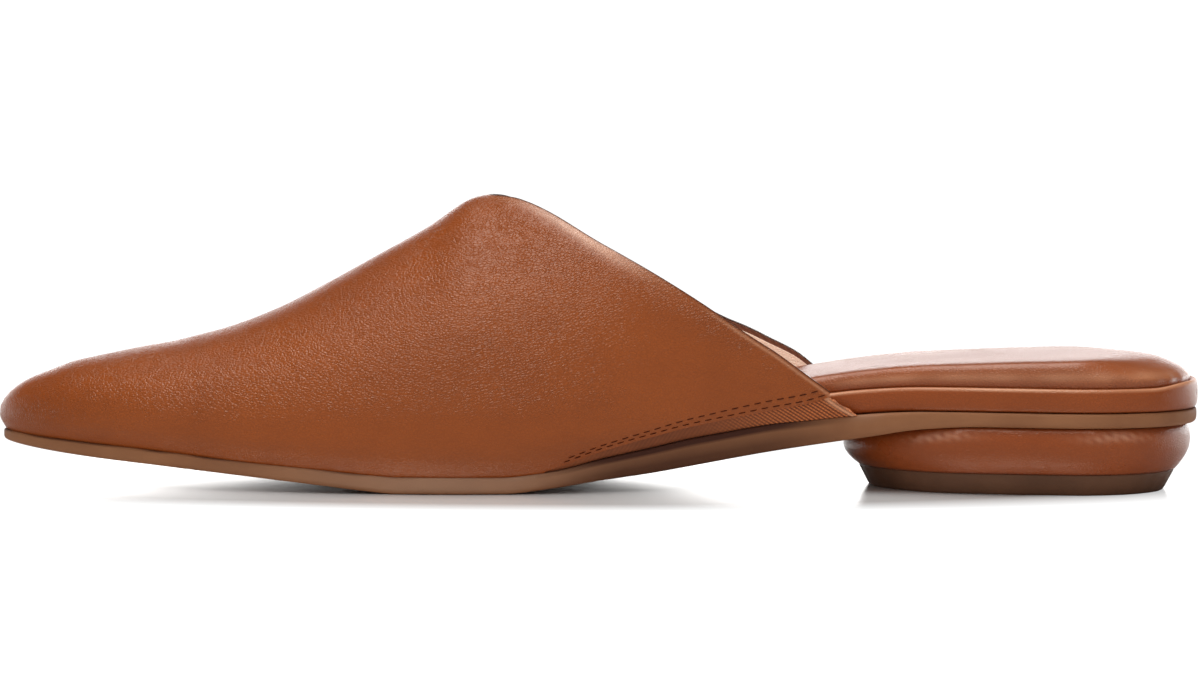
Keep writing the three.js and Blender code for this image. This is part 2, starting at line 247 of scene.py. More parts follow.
# Height of the upper over its middle line.
CREST = Table(
    "s z",
    (0, 23.4),
    (5, 24.1),
    (10, 24.4),
    (16, 25.7),
    (22, 27),
    (32, 29.1),
    (38, 30.2),
    (43, 31.5),
    (49, 33.1),
    (60, 37.4),
    (71, 43.1),
    (82, 49.3),
    (93, 55.5),
    (103, 62.1),
    (107, 63.1),
    (110, 64.2),
    (114, 65.7),
    (120, 67.4),
    (131, 70.4),
    (142, 73.4),
    (165, 79),
    (192, 85),
)
# Sections of the upper: height of the widest line over the sole, how far it stands out past the sole, how
# full the ellipse above it is, and how far the crest leans inwards.
WALLS = Table(
    "s depth bulge full lean",
    (0, 3, 1, 0.12, 0),
    (25, 3.6, 1.5, 0.12, 0.5),
    (50, 4.6, 1.8, 0.06, 1.5),
    (75, 5.6, 2, -0.04, 2),
    (98, 6.2, 2.1, -0.14, 2),
    (120, 6, 2.1, -0.18, 2.5),
    (150, 5.4, 1.9, -0.1, 3),
    (170, 4.9, 1.7, 0, 3),
    (190, 4.6, 1.6, 0, 3),
)
# Height of the collar edge on each side of the foot.
COLLAR = Table(
    "s inner outer",
    (106.5, 63, 63),
    (109, 63, 62.7),
    (112, 62.8, 61.7),
    (115, 62.1, 60.2),
    (120, 60.2, 57.2),
    (131, 54, 50.2),
    (142, 47.5, 43.6),
    (153, 40.7, 37.6),
    (159, 36.7, 34.6),
    (164, 33.4, 32.6),
    (169, 30.3, 30.2),
    (175, 26, 27.2),
    (180.6, 22, 22.8),
)
# Upper edge of the insert, as a share of the way up to the widest line.
GORE_TOP = Table(
    "s share",
    (119, 0),
    (126, 0.15),
    (134, 0.29),
    (144, 0.41),
    (157, 0.5),
    (166, 0.57),
    (172, 0.65),
    (176, 0.75),
    (180.6, 0.95),
)
# Thickness of the wrapped board and of the cushion on it.
INSOLE = Table(
    "s board cushion",
    (0, 2.4, 2.2),
    (98, 2.6, 2.4),
    (150, 3.4, 2.8),
    (176, 4.8, 3.6),
    (188, 5, 3.9),
    (205, 5, 4.6),
    (225, 5, 5.5),
    (243, 5, 6),
    (262, 5, 6),
)
# Edge of the cushion from its seam (t = 0) in to its flat top: inset at the sides and at the back, and share
# of the cushion's height.
CUSHION_EDGE = Table(
    "t side back up",
    (0.0, 0.9, 1.0, -0.14),
    (0.05, 0.25, 0.3, -0.09),
    (0.12, 0.03, 0.03, 0.04),
    (0.2, -0.05, 0.1, 0.2),
    (0.3, -0.05, 0.8, 0.36),
    (0.4, 0.12, 2.2, 0.54),
    (0.5, 0.5, 4.8, 0.74),
    (0.6, 1.3, 7.6, 0.895),
    (0.7, 2.5, 10, 0.955),
    (0.82, 5.0, 12, 0.985),
    (1.0, 13, 15, 1.0),
)


# ---- the last -----------------------------------------------------------------------------------


@dataclass
class Last:
    """The form of the shoe: every surface is a point function of its own sections.

    Above its widest line a section is a flattened ellipse that ends on the crest; below that line a quarter
    sine leads in to the edge of the sole. Laid out flat, the upper is the half plane (u, v): u runs round the
    widest line, v rises from it, and the distance from the toe tip turns into distance along the shoe.
    """

    nose: float = 12.0
    crest_round: float = 18.0
    toe_blend: float = 40.0
    feather_front: float = 0.3
    feather_wings: float = -0.25
    feather_blend: float = 30.0
    wing_end: float = 180.6
    rake_start: float = 148.0
    rake_shift: float = 5.3
    rake_power: float = 1.5
    gore_recess: float = 0.5
    edge_points: int = 500
    edge_crowding: float = 1.6

    def __post_init__(self) -> None:
        """Reads the tables into curves."""
        self.centre = OUTLINE.curve("centre")
        self.half = OUTLINE.curve("half")
        self.tread = PROFILE.curve("tread")
        self.thick = PROFILE.curve("thick")
        self.crest = CREST.curve("z")
        self.depth = WALLS.curve("depth")
        self.bulge = WALLS.curve("bulge")
        self.full = WALLS.curve("full")
        self.lean = WALLS.curve("lean")
        self.board = INSOLE.curve("board")
        self.cushion = INSOLE.curve("cushion")
        self.gore_share = GORE_TOP.curve("share")
        self.edges = {side: self._collar_edge(side.name.lower()) for side in Side}

    def sole_top(self, s: Number) -> Number:
        """Height of the outsole's upper face."""
        return self.tread(s) + self.thick(s)

    def feather(self, s: Number) -> Number:
        """Height at which the upper meets the sole."""
        return self.sole_top(s) + GAP

    def platform_top(self, s: Number) -> Number:
        """Height of the wrapped board's upper face."""
        return self.feather(s) + self.board(s)

    def widest_z(self, s: Number) -> Number:
        """Height of the upper's widest line."""
        return self.feather(s) + self.depth(s)

    def crest_z(self, s: Number) -> Number:
        """Height of the crest, rounded down to the toe tip."""
        low = self.widest_z(s)
        return low + (self.crest(s) - low) * dome(s / self.crest_round)

    def dome_point(self, side: Number, s: Number, turn: Number) -> np.ndarray:
        """Point of the upper above its widest line.

        Args:
            side: 1 on the inner side of the foot, -1 on the outer.
            s: section.
            turn: angle up from the widest line, a quarter turn on the crest.

        Returns:
            Points in millimetres, last axis x, y, z.
        """
        widest = (self.half(s) + self.bulge(s)) * dome(s / TOE_ROUND)
        edge = self.centre(s) + side * widest
        crest_x = self.centre(s) + self.lean(s) * dome(s / self.toe_blend)
        reach = np.cos(turn) * (1 + self.full(s) * np.sin(turn) ** 2)
        x = crest_x + (edge - crest_x) * reach
        z = lerp(self.widest_z(s), self.crest_z(s), np.sin(turn))
        return np.stack([x, s + TOE_Y, z], axis=-1)

    def skirt_point(self, side: Number, s: Number, share: Number) -> np.ndarray:
        """Point of the upper between its lower edge (share 0) and its widest line (share 1).

        Args:
            side: 1 on the inner side of the foot, -1 on the outer.
            s: section at the widest line.
            share: part of the way up.

        Returns:
            Points in millimetres, last axis x, y, z.
        """
        rake = self.rake_shift * smooth((s - self.rake_start) / (self.wing_end - self.rake_start))
        tip = SOLE_TIP + self.feather_front
        foot = s + tip * (1 - np.clip(s / self.toe_blend, 0, 1)) ** 2
        out = np.sin(share * np.pi / 2)
        at = lerp(foot, s, out) + rake * (1 - share) ** self.rake_power
        wings = smooth((s - self.rake_start) / self.feather_blend)
        inset = lerp(self.feather_front, self.feather_wings, wings)
        foot_edge = self.half(at) * dome((foot - tip) / TOE_ROUND) - inset
        widest = (self.half(at) + self.bulge(at)) * dome(s / TOE_ROUND)
        half = lerp(np.maximum(foot_edge, 0), widest, out)
        z = self.feather(at) + self.depth(at) * share
        return np.stack([self.centre(at) + side * half, at + TOE_Y, z], axis=-1)

    def wall_point(self, s: Number, height: Number) -> np.ndarray:
        """Point on the inner wall, from its height over the lower edge.

        Args:
            s: section.
            height: height over the lower edge.

        Returns:
            Points in millimetres, last axis x, y, z.
        """
        share = np.clip(height / self.depth(s), None, 1.0)
        over = np.clip(height - self.depth(s), 0.0, None)
        turn = np.arcsin(np.clip(over / (self.crest_z(s) - self.widest_z(s)), 0, 1))
        low = self.skirt_point(Side.INNER.value, s, share)
        high = self.dome_point(Side.INNER.value, s, turn)
        return np.where((over > 0)[..., None], high, low)

    def gather(self, distance: Number) -> Number:
        """Section reached at a distance over the flat layout."""
        return np.sqrt(self.nose**2 + distance**2) - self.nose

    def flat_point(self, u: np.ndarray, v: np.ndarray) -> np.ndarray:
        """Point of the upper from its place in the flat layout."""
        s = self.gather(np.hypot(u, v))
        return self.dome_point(np.where(u < 0, -1, 1), s, np.arctan2(v, np.abs(u)))

    def _collar_edge(self, name: str) -> np.ndarray:
        """Collar edge in the flat layout, its points closer together towards the peak.

        Args:
            name: column of the collar table.

        Returns:
            Rows of u and v from the peak back.
        """
        first = COLLAR.rows[0, 0]
        s = lerp(first, self.wing_end, np.linspace(0, 1, self.edge_points) ** self.edge_crowding)
        rise = (COLLAR.curve(name)(s) - self.widest_z(s)) / (self.crest_z(s) - self.widest_z(s))
        turn = np.arcsin(np.clip(rise, 0, 1))
        turn[0] = np.pi / 2
        spread = np.sqrt(s * s + 2 * self.nose * s)
        return np.stack([spread * np.cos(turn), spread * np.sin(turn)], axis=1)

    def collar_height(self, side: Side, u: np.ndarray) -> np.ndarray:
        """Top of the upper in the flat layout at u."""
        edge = self.edges[side]
        return np.interp(u, edge[:, 0], edge[:, 1])

    def bottom_half(self, s: Number, tip: float, end: float) -> Number:
        """Half width of a bottom piece that starts at tip and stops at end."""
        return self.half(s) * dome((s - tip) / TOE_ROUND) * dome((end - s) / HEEL_ROUND)


# ---- meshes -------------------------------------------------------------------------------------


def grid_faces(rows: int, columns: int, ring: bool = False) -> np.ndarray:
    """Quads of a grid of points, row by row.

    Args:
        rows: number of rows.
        columns: number of points in a row.
        ring: True where each row closes on itself.

    Returns:
        Array of four point numbers per face.
    """
    across = np.arange(columns if ring else columns - 1)
    down = np.arange(rows - 1)[:, None] * columns
    a = down + across
    b = down + (across + 1) % columns
    return np.stack([a, b, b + columns, a + columns], axis=-1).reshape(-1, 4)


def vertex_normals(grid: np.ndarray) -> np.ndarray:
    """Normals of a grid: its differences along the rows crossed with those along the columns.

    Args:
        grid: points by row and column.

    Returns:
        One vector of length 1 per point.
    """
    along = np.gradient(grid, axis=1)
    up = np.gradient(grid, axis=0)
    return unit(np.cross(along, up))


class Piece:
    """One object of the shoe, built from points and faces."""

    rim_segments = 3
    rim_angle = math.radians(55)

    def __init__(self, name: str, points: np.ndarray, faces: np.ndarray) -> None:
        """Makes the object.

        Args:
            name: object name.
            points: millimetres, last axis x, y, z.
            faces: four point numbers per face; a number repeated in a row makes a triangle.
        """
        self.name = name
        loops = [tuple(dict.fromkeys(f)) for f in faces.tolist()]
        mesh = bpy.data.meshes.new(name)
        mesh.from_pydata((points.reshape(-1, 3) * MM).tolist(), [], [f for f in loops if len(f) > 2])
        mesh.polygons.foreach_set("use_smooth", np.ones(len(mesh.polygons), bool))
        mesh.update()
        self.object = bpy.data.objects.new(name, mesh)
        bpy.context.scene.collection.objects.link(self.object)

    def layout(self, u: np.ndarray, v: np.ndarray) -> None:
        """Stores a UV map in millimetres.

        Args:
            u: first coordinate of each point.
            v: second coordinate of each point.
        """
        mesh = self.object.data
        layer = mesh.uv_layers.new(name="UVMap")
        index = np.empty(len(mesh.loops), np.int32)
        mesh.loops.foreach_get("vertex_index", index)
        pairs = np.stack([u.ravel(), v.ravel()], axis=1)[index]
        layer.data.foreach_set("uv", pairs.astype(np.float32).ravel())

    def attribute(self, name: str, values: np.ndarray) -> None:
        """Stores one number per point for the materials."""
        data = self.object.data.attributes.new(name, "FLOAT", "POINT")
        data.data.foreach_set("value", np.asarray(values, np.float32).ravel())

    def solidify(self, thickness: float, round_edge: float = 0.0) -> None:
        """Gives a skin its thickness, inwards.

        Args:
            thickness: wall in millimetres.
            round_edge: rounding of its rims in millimetres, 0 for none.
        """
        wall = self.object.modifiers.new("wall", "SOLIDIFY")
        wall.thickness = thickness * MM
        wall.offset = -1.0
        if round_edge > 0:
            rim = self.object.modifiers.new("rim", "BEVEL")
            rim.width = round_edge * MM
            rim.segments = self.rim_segments
            rim.limit_method = "ANGLE"
            rim.angle_limit = self.rim_angle

    def finish(self, material: bpy.types.Material, slot: str, *nodes: str) -> None:
        """Dresses the piece and ties it to the frame.

        Args:
            material: its material.
            slot: material slot of the record; not used.
            nodes: frame nodes that it stands for.
        """
        self.object.data.materials.append(material)
        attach(self.object, BODY)
        if nodes:
            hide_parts(*nodes)
        log.info("%s: %d points", self.name, len(self.object.data.vertices))


class Outline:
    """A closed outline in plan, from the tip down the inner side to the end and back up the outer side."""

    crowded = 0.15  # share of the length at each end where the points draw together

    def __init__(self, centre: Curve, half: Curve, tip: float, end: float, count: int) -> None:
        """Sets points along both sides, close together towards the ends.

        Args:
            centre: middle line as a function of s.
            half: half width as a function of s.
            tip: section where the outline starts.
            end: section where it ends.
            count: number of steps along each side.
        """
        t = np.linspace(0, 1, count + 1)
        zone = self.crowded
        reach = np.where(t < zone, t * t / (2 * zone), t - zone / 2)
        reach = np.where(t > 1 - zone, 1 - zone - (1 - t) ** 2 / (2 * zone), reach)
        s = tip + (end - tip) * reach / reach[-1]
        inner = np.stack([centre(s) + half(s), s], axis=1)
        outer = np.stack([centre(s) - half(s), s], axis=1)[1:-1][::-1]
        self.points = np.concatenate([inner, outer])
        along = unit(np.roll(self.points, -1, axis=0) - np.roll(self.points, 1, axis=0))
        self.inward = np.stack([-along[:, 1], along[:, 0]], axis=1)
        step = np.linalg.norm(np.diff(self.points, axis=0, append=self.points[:1]), axis=1)
        self.run = np.concatenate([[0.0], np.cumsum(step)[:-1]])

    def inset(self, amount: Number) -> np.ndarray:
        """The outline moved inwards by an amount in millimetres, one or one per point."""
        return self.points + self.inward * np.reshape(amount, (-1, 1))

    def uneven(self, waves: tuple[Wave, ...]) -> np.ndarray:
        """Sum of some waves along the outline, in millimetres at each point."""
        return sum(wave(self.run) for wave in waves)


class RingPiece(Piece):
    """A closed solid of rings stacked from bottom to top and capped at both ends."""

    def __init__(self, name: str, outline: Outline, insets: np.ndarray, heights: RingHeights) -> None:
        """Builds the rings.

        Args:
            name: object name.
            outline: outline in plan.
            insets: inset of each ring, in rows of one number per point.
            heights: function of s and the ring number that returns z.
        """
        rings = []
        for k, amount in enumerate(insets):
            flat = outline.inset(amount)
            rings.append(np.column_stack([flat[:, 0], flat[:, 1] + TOE_Y, heights(flat[:, 1], k)]))
        rows, columns = len(rings), len(outline.points)
        sides = grid_faces(rows, columns, ring=True)
        i = np.arange(columns // 2)
        strip = np.stack([i, i + 1, columns - i - 1, (columns - i) % columns], axis=1)
        bottom = strip[:, ::-1]
        top = strip + (rows - 1) * columns
        super().__init__(name, np.stack(rings), np.concatenate([sides, bottom, top]))


# ---- materials ----------------------------------------------------------------------------------


class Nodes:
    """Short way to add nodes to a tree and link them."""

    def __init__(self, tree: bpy.types.NodeTree) -> None:
        """Keeps the tree."""
        self.tree = tree

    def feed(self, node: bpy.types.Node, inputs: dict) -> None:
        """Fills inputs of a node.

        Args:
            node: node to fill.
            inputs: values or output sockets by input name or number.
        """
        for key, value in inputs.items():
            if isinstance(value, Socket):
                self.tree.links.new(value, node.inputs[key])
            else:
                node.inputs[key].default_value = value

    def add(self, kind: str, inputs: dict | None = None, **settings: object) -> bpy.types.Node:
        """Adds a node.

        Args:
            kind: node type without the ShaderNode prefix.
            inputs: values or output sockets by input name or number.
            settings: node properties.

        Returns:
            The node.
        """
        node = self.tree.nodes.new("ShaderNode" + kind)
        for key, value in settings.items():
            setattr(node, key, value)
        self.feed(node, inputs or {})
        return node

    def shared(self, group: bpy.types.NodeTree, inputs: dict) -> bpy.types.Node:
        """Adds a shared group with its own input values."""
        return self.add("Group", inputs, node_tree=group)

    def math(self, operation: str, a: Socket | float, b: Socket | float, clamp: bool = False) -> Socket:
        """Arithmetic on two values."""
        return self.add("Math", {0: a, 1: b}, operation=operation, use_clamp=clamp).outputs[0]

    def between(
        self, value: Socket, low: float, high: float, start: float = 0.0, stop: float = 1.0
    ) -> Socket:
        """Value mapped from low..high to start..stop, clamped."""
        names = {"Value": value, "From Min": low, "From Max": high, "To Min": start, "To Max": stop}
        return self.add("MapRange", names).outputs["Result"]

    def blend(self, factor: Socket, a: Socket | Colour, b: Socket | Colour) -> Socket:
        """Colour between a and b."""
        return self.add("Mix", {0: factor, 6: a, 7: b}, data_type="RGBA").outputs[2]

    def object_coords(self) -> Socket:
        """Place on the piece, in metres."""
        return self.add("TexCoord").outputs["Object"]

    def noise(self, vector: Socket, scale: float, detail: float = 2.0, roughness: float = 0.5) -> Socket:
        """Noise value; scale is in cells per metre."""
        inputs = {"Vector": vector, "Scale": scale, "Detail": detail, "Roughness": roughness}
        return self.add("TexNoise", inputs).outputs[0]

    def attribute(self, name: str) -> Socket:
        """Number stored on the piece's points, 0 where there is none."""
        return self.add("Attribute", attribute_name=name).outputs["Fac"]


def rgb(red: int, green: int, blue: int) -> Colour:
    """Display colour turned into scene light.

    Args:
        red: red from 0 to 255.
        green: green from 0 to 255.
        blue: blue from 0 to 255.

    Returns:
        The colour with full alpha.
    """
    c = np.array([red, green, blue]) / 255.0
    light = np.where(c <= 0.04045, c / 12.92, ((c + 0.055) / 1.055) ** 2.4)
    return (*light.tolist(), 1.0)


class Effects:
    """Node groups that several finishes share."""

    def __init__(self) -> None:
        """Builds the groups."""
        self.grain = self._grain()
        self.mottle = self._mottle()
        self.specks = self._specks()

    @staticmethod
    def _group(name: str, inputs: dict[str, float], outputs: list[str]) -> tuple:
        """New group of numbers over the surface.

        Args:
            name: group name.
            inputs: number inputs with their defaults, beside the vector that every group takes.
            outputs: names of its number outputs.

        Returns:
            The group, the sockets that it is given and the sockets that it puts out.
        """
        group = bpy.data.node_groups.new(name, "ShaderNodeTree")
        group.interface.new_socket(name="Vector", in_out="INPUT", socket_type="NodeSocketVector")
        for key, value in inputs.items():
            socket = group.interface.new_socket(name=key, in_out="INPUT", socket_type="NodeSocketFloat")
            socket.default_value = value
        for key in outputs:
            group.interface.new_socket(name=key, in_out="OUTPUT", socket_type="NodeSocketFloat")
        source = group.nodes.new("NodeGroupInput")
        target = group.nodes.new("NodeGroupOutput")
        return group, source.outputs, target.inputs

    def _grain(self) -> bpy.types.NodeTree:
        """Leather grain: small soft cells over finer pores, as a height and a crease mask."""
        inputs = {"Scale": 1500.0, "Pores": 0.4}
        group, given, out = self._group("leather_grain", inputs, ["Height", "Creases"])
        n = Nodes(group)
        turn = {"Rotation": (math.radians(28), 0.0, 0.0), "Scale": (1.0, 1.5, 1.0)}
        slant = n.add("Mapping", {"Vector": given["Vector"], **turn}, vector_type="TEXTURE").outputs[0]
        warp = n.add("TexNoise", {"Vector": slant, "Scale": 900.0, "Detail": 1.0})
        shift = n.add("VectorMath", {0: warp.outputs[1], 3: 0.0004}, operation="SCALE")
        place = n.add("VectorMath", {0: slant, 1: shift.outputs[0]}, operation="ADD").outputs[0]
        mosaic = n.add("TexVoronoi", {"Vector": place, "Scale": given["Scale"]}, feature="DISTANCE_TO_EDGE")
        cells = mosaic.outputs["Distance"]
        size = n.noise(given["Vector"], 380.0)
        fine = n.noise(place, 4200.0)
        plump = n.math("MULTIPLY", n.between(cells, 0.0, 0.3), n.between(size, 0.3, 0.7, 0.55, 1.1))
        pores = n.math("MULTIPLY", fine, given["Pores"])
        group.links.new(n.math("ADD", plump, pores), out["Height"])
        group.links.new(n.between(cells, 0.0, 0.16, 1.0, 0.0), out["Creases"])
        return group

    def _mottle(self) -> bpy.types.NodeTree:
        """Slow tone changes of the leather's dye: clouds, with long faint streaks."""
        group, given, out = self._group("dye_mottle", {"Clouds": 45.0}, ["Tone"])
        n = Nodes(group)
        clouds = n.add("TexNoise", {"Vector": given["Vector"], "Scale": given["Clouds"], "Detail": 4.0})
        stretch = n.add("Mapping", {"Vector": given["Vector"], "Scale": (1.0, 0.25, 1.0)})
        streaks = n.noise(stretch.outputs[0], 260.0, 3.0)
        mix = n.math("ADD", n.math("MULTIPLY", clouds.outputs[0], 0.7), n.math("MULTIPLY", streaks, 0.3))
        group.links.new(n.between(mix, 0.3, 0.7), out["Tone"])
        return group

    def _specks(self) -> bpy.types.NodeTree:
        """Small scattered specks, such as dust or dried glue, as a mask."""
        group, given, out = self._group("specks", {"Scale": 900.0, "Amount": 0.3}, ["Mask"])
        n = Nodes(group)
        spots = n.add("TexNoise", {"Vector": given["Vector"], "Scale": given["Scale"], "Detail": 3.0})
        patch = n.noise(given["Vector"], 110.0)
        level = n.math("MULTIPLY", n.math("MULTIPLY", spots.outputs[0], patch), 3.4)
        lifted = n.math("ADD", level, n.math("SUBTRACT", given["Amount"], 1.0))
        group.links.new(n.between(lifted, 0.25, 0.42), out["Mask"])
        return group


def new_material(name: str) -> tuple[bpy.types.Material, Nodes, bpy.types.Node]:
    """Empty material with its surface shader.

    Args:
        name: material name.

    Returns:
        The material, its node helper and the surface shader node.
    """
    material = bpy.data.materials.new(name)
    material.use_nodes = True
    material.node_tree.nodes.clear()
    n = Nodes(material.node_tree)
    shader = n.add("BsdfPrincipled")
    n.add("OutputMaterial", {0: shader.outputs[0]})
    return material, n, shader


EDGE_PAINT = rgb(70, 34, 17)
# Colour of the painted highlights along the collar, on the platform's rim, on the cushion's side, on the heel
# cover and on the insert's folded edge.
PAINTED_HIGHLIGHT = rgb(232, 172, 132)


@dataclass(frozen=True)
class Leather:
    """Dyed smooth leather with fine natural grain."""

    name: str
    colour: Colour
    deep: Colour
    mottling: float = 0.35
    creasing: float = 0.2
    roughness: float = 0.28
    shine: float = 0.4
    tint: Colour = (1.0, 0.89, 0.74, 1.0)
    grain_scale: float = 1800.0
    grain_metres: float = 0.00011
    coat: float = 0.0
    coat_roughness: float = 0.3
    # glow gives the leather light of its own colour: painted light.
    glow: float = 0.0

    def material(self, effects: Effects) -> bpy.types.Material:
        """Builds the material.

        Args:
            effects: shared node groups.

        Returns:
            The material; pieces may store "shade" (0 to 1) where it is darkened, on every piece a painted
            shade,
            "brightened" where a painted highlight lightens it, "gloss" where it has a coat, "cut" on a
            painted edge and "calm" where the grain is stretched smooth.
        """
        material, n, shader = new_material(self.name)
        place = n.object_coords()
        grain = n.shared(effects.grain, {"Vector": place, "Scale": self.grain_scale})
        tone = n.shared(effects.mottle, {"Vector": place}).outputs["Tone"]
        # Darker where the dye mottles and where the piece stores painted shade.
        mottle_and_shade = n.math("MAXIMUM", n.math("MULTIPLY", tone, self.mottling), n.attribute("shade"), clamp=True)
        base = n.blend(mottle_and_shade, self.colour, self.deep)
        creased = n.blend(n.math("MULTIPLY", grain.outputs["Creases"], self.creasing), base, self.deep)
        # Painted highlight: lighter where the piece stores it.
        lightened = n.blend(n.attribute("brightened"), creased, PAINTED_HIGHLIGHT)
        painted = n.blend(n.attribute("cut"), lightened, EDGE_PAINT)
        rough = n.between(tone, 0.0, 1.0, self.roughness - 0.03, self.roughness + 0.05)
        loose = n.math("SUBTRACT", 1.0, n.attribute("calm"))
        relief = n.math("MULTIPLY", grain.outputs["Height"], loose)
        bump = n.add("Bump", {"Height": relief, "Distance": self.grain_metres})
        coat = n.math("MAXIMUM", n.attribute("gloss"), self.coat)
        n.feed(shader, {"Base Color": painted, "Roughness": rough, "Normal": bump.outputs[0]})
        n.feed(shader, {"Emission Color": painted, "Emission Strength": self.glow})
        n.feed(shader, {"Specular IOR Level": self.shine, "Specular Tint": self.tint})
        n.feed(shader, {"Coat Weight": coat, "Coat Roughness": self.coat_roughness})
        return material


@dataclass(frozen=True)
class Rubber:
    """Moulded rubber with a matt, faintly rough face and specks of dried cement on its upper rim."""

    name: str
    colour: Colour
    dark: Colour
    edge: Colour
    speck: Colour
    clouds: float = 70.0
    rim_light: float = 0.12
    specks: float = 0.0
    roughness: float = 0.6
    roughness_play: float = 0.08
    shine: float = 0.22
    bump_metres: float = 0.00006

    def material(self, effects: Effects) -> bpy.types.Material:
        """Builds the material.

        Args:
            effects: shared node groups.

        Returns:
            The material; pieces may store "rim" (0 to 1) where cement dried, "brightened" where the rubber is
            made lighter and "shade" where it is darker, on the outsole painted shade over the waist and a
            broken dark line along the seam round the toe.
        """
        material, n, shader = new_material(self.name)
        place = n.object_coords()
        tone = n.shared(effects.mottle, {"Vector": place, "Clouds": self.clouds}).outputs["Tone"]
        rim = n.attribute("rim")
        fine = n.noise(place, 2600.0, 3.0, 0.6)
        clouded = n.blend(tone, self.colour, self.dark)
        lightened = n.blend(n.attribute("brightened"), clouded, self.speck)
        # Darker towards the edge colour where the piece stores shade: on the outsole mostly painted shade.
        shaded = n.blend(n.attribute("shade"), lightened, self.edge)
        rimmed = n.blend(n.math("MULTIPLY", rim, self.rim_light), shaded, self.speck)
        mask = n.shared(effects.specks, {"Vector": place, "Amount": self.specks}).outputs["Mask"]
        spotted = n.blend(n.math("MULTIPLY", mask, rim), rimmed, self.speck)
        smoothest, roughest = self.roughness - self.roughness_play, self.roughness + self.roughness_play
        rough = n.between(fine, 0.3, 0.7, smoothest, roughest)
        bump = n.add("Bump", {"Height": fine, "Distance": self.bump_metres, "Strength": 0.5})
        n.feed(shader, {"Base Color": spotted, "Roughness": rough, "Normal": bump.outputs[0]})
        n.feed(shader, {"Specular IOR Level": self.shine})
        return material


@dataclass(frozen=True)
class Elastic:
    """Woven elastic: fine threads crossing its ribs."""

    name: str
    colour: Colour
    dark: Colour
    thread_pitch: float = 0.74
    weave_share: float = 0.85
    mottling: float = 0.2
    roughness: float = 0.8
    bump_metres: float = 0.00012

    def material(self, effects: Effects) -> bpy.types.Material:
        """Builds the material.

        Args:
            effects: shared node groups.

        Returns:
            The material; the piece stores "rib" (0 to 1), high on each rib, and a UV map in millimetres, and
            "fold" (0 to 1) if it has a folded edge, which a painted highlight lightens. The grooves between
            the ribs are darker, partly the weave's own pattern and partly painted shade.
        """
        material, n, shader = new_material(self.name)
        along = n.add("SeparateXYZ", {0: n.add("UVMap", uv_map="UVMap").outputs[0]}).outputs[0]
        thread = n.math("SINE", n.math("MULTIPLY", along, 2 * math.pi / self.thread_pitch), 0.0)
        weave = n.math("MULTIPLY", n.between(thread, -1.0, 0.6, 0.62, 1.0), n.attribute("rib"))
        tone = n.shared(effects.mottle, {"Vector": n.object_coords()}).outputs["Tone"]
        clouds = n.math("MULTIPLY", tone, self.mottling)
        # Darker in the grooves between ribs: partly the weave's pattern, partly painted shade.
        weave_and_rib_shade = n.math("ADD", n.math("MULTIPLY", weave, self.weave_share), clouds)
        woven = n.blend(weave_and_rib_shade, self.dark, self.colour)
        # Painted highlight on a folded edge.
        folded = n.blend(n.attribute("fold"), woven, PAINTED_HIGHLIGHT)
        bump = n.add("Bump", {"Height": weave, "Distance": self.bump_metres, "Strength": 0.7})
        n.feed(shader, {"Base Color": folded, "Roughness": self.roughness, "Normal": bump.outputs[0]})
        return material


@dataclass(frozen=True)
class Thread:
    """Waxed sewing thread with a twist."""

    name: str
    colour: Colour
    dark: Colour
    twist_share: float = 0.7
    roughness: float = 0.9
    shine: float = 0.08
    bump_metres: float = 0.00005

    def material(self, effects: Effects) -> bpy.types.Material:
        """Builds the material.

        Args:
            effects: shared node groups.

        Returns:
            The material.
        """
        material, n, shader = new_material(self.name)
        place = n.object_coords()
        twist = n.noise(place, 4000.0)
        tone = n.shared(effects.mottle, {"Vector": place}).outputs["Tone"]
        clouds = n.math("MULTIPLY", tone, 1.0 - self.twist_share)
        mixed = n.math("ADD", n.math("MULTIPLY", twist, self.twist_share), clouds)
        bump = n.add("Bump", {"Height": twist, "Distance": self.bump_metres, "Strength": 0.6})
        n.feed(shader, {"Base Color": n.blend(mixed, self.dark, self.colour), "Normal": bump.outputs[0]})
        n.feed(shader, {"Roughness": self.roughness, "Specular IOR Level": self.shine})
        return material


# ---- pieces -------------------------------------------------------------------------------------


@dataclass(frozen=True)
class Trough:
    """One soft trough (depth below 0) or ridge across the vamp, its s given at the level height."""

    s: float
    z: float
    slant: float
    width: float
    reach: float
    depth: float
    level: float = 30.0

    def height(self, s: np.ndarray, z: np.ndarray) -> np.ndarray:
        """Height over the form: a bell across the slanted line, faded away above and below z."""
        across = s - (self.s + self.slant * (z - self.level))
        return self.depth * hump(across, 0.0, self.width) * hump(z, self.z, self.reach)


FLEX_TROUGHS = (
    Trough(s=78, z=30, slant=0.5, width=7, reach=14, depth=-0.18),
    Trough(s=94, z=28, slant=0.6, width=8, reach=15, depth=0.14),
    Trough(s=112, z=26, slant=0.7, width=9, reach=14, depth=-0.2),
    Trough(s=52, z=24, slant=0.3, width=8, reach=9, depth=0.12),
)


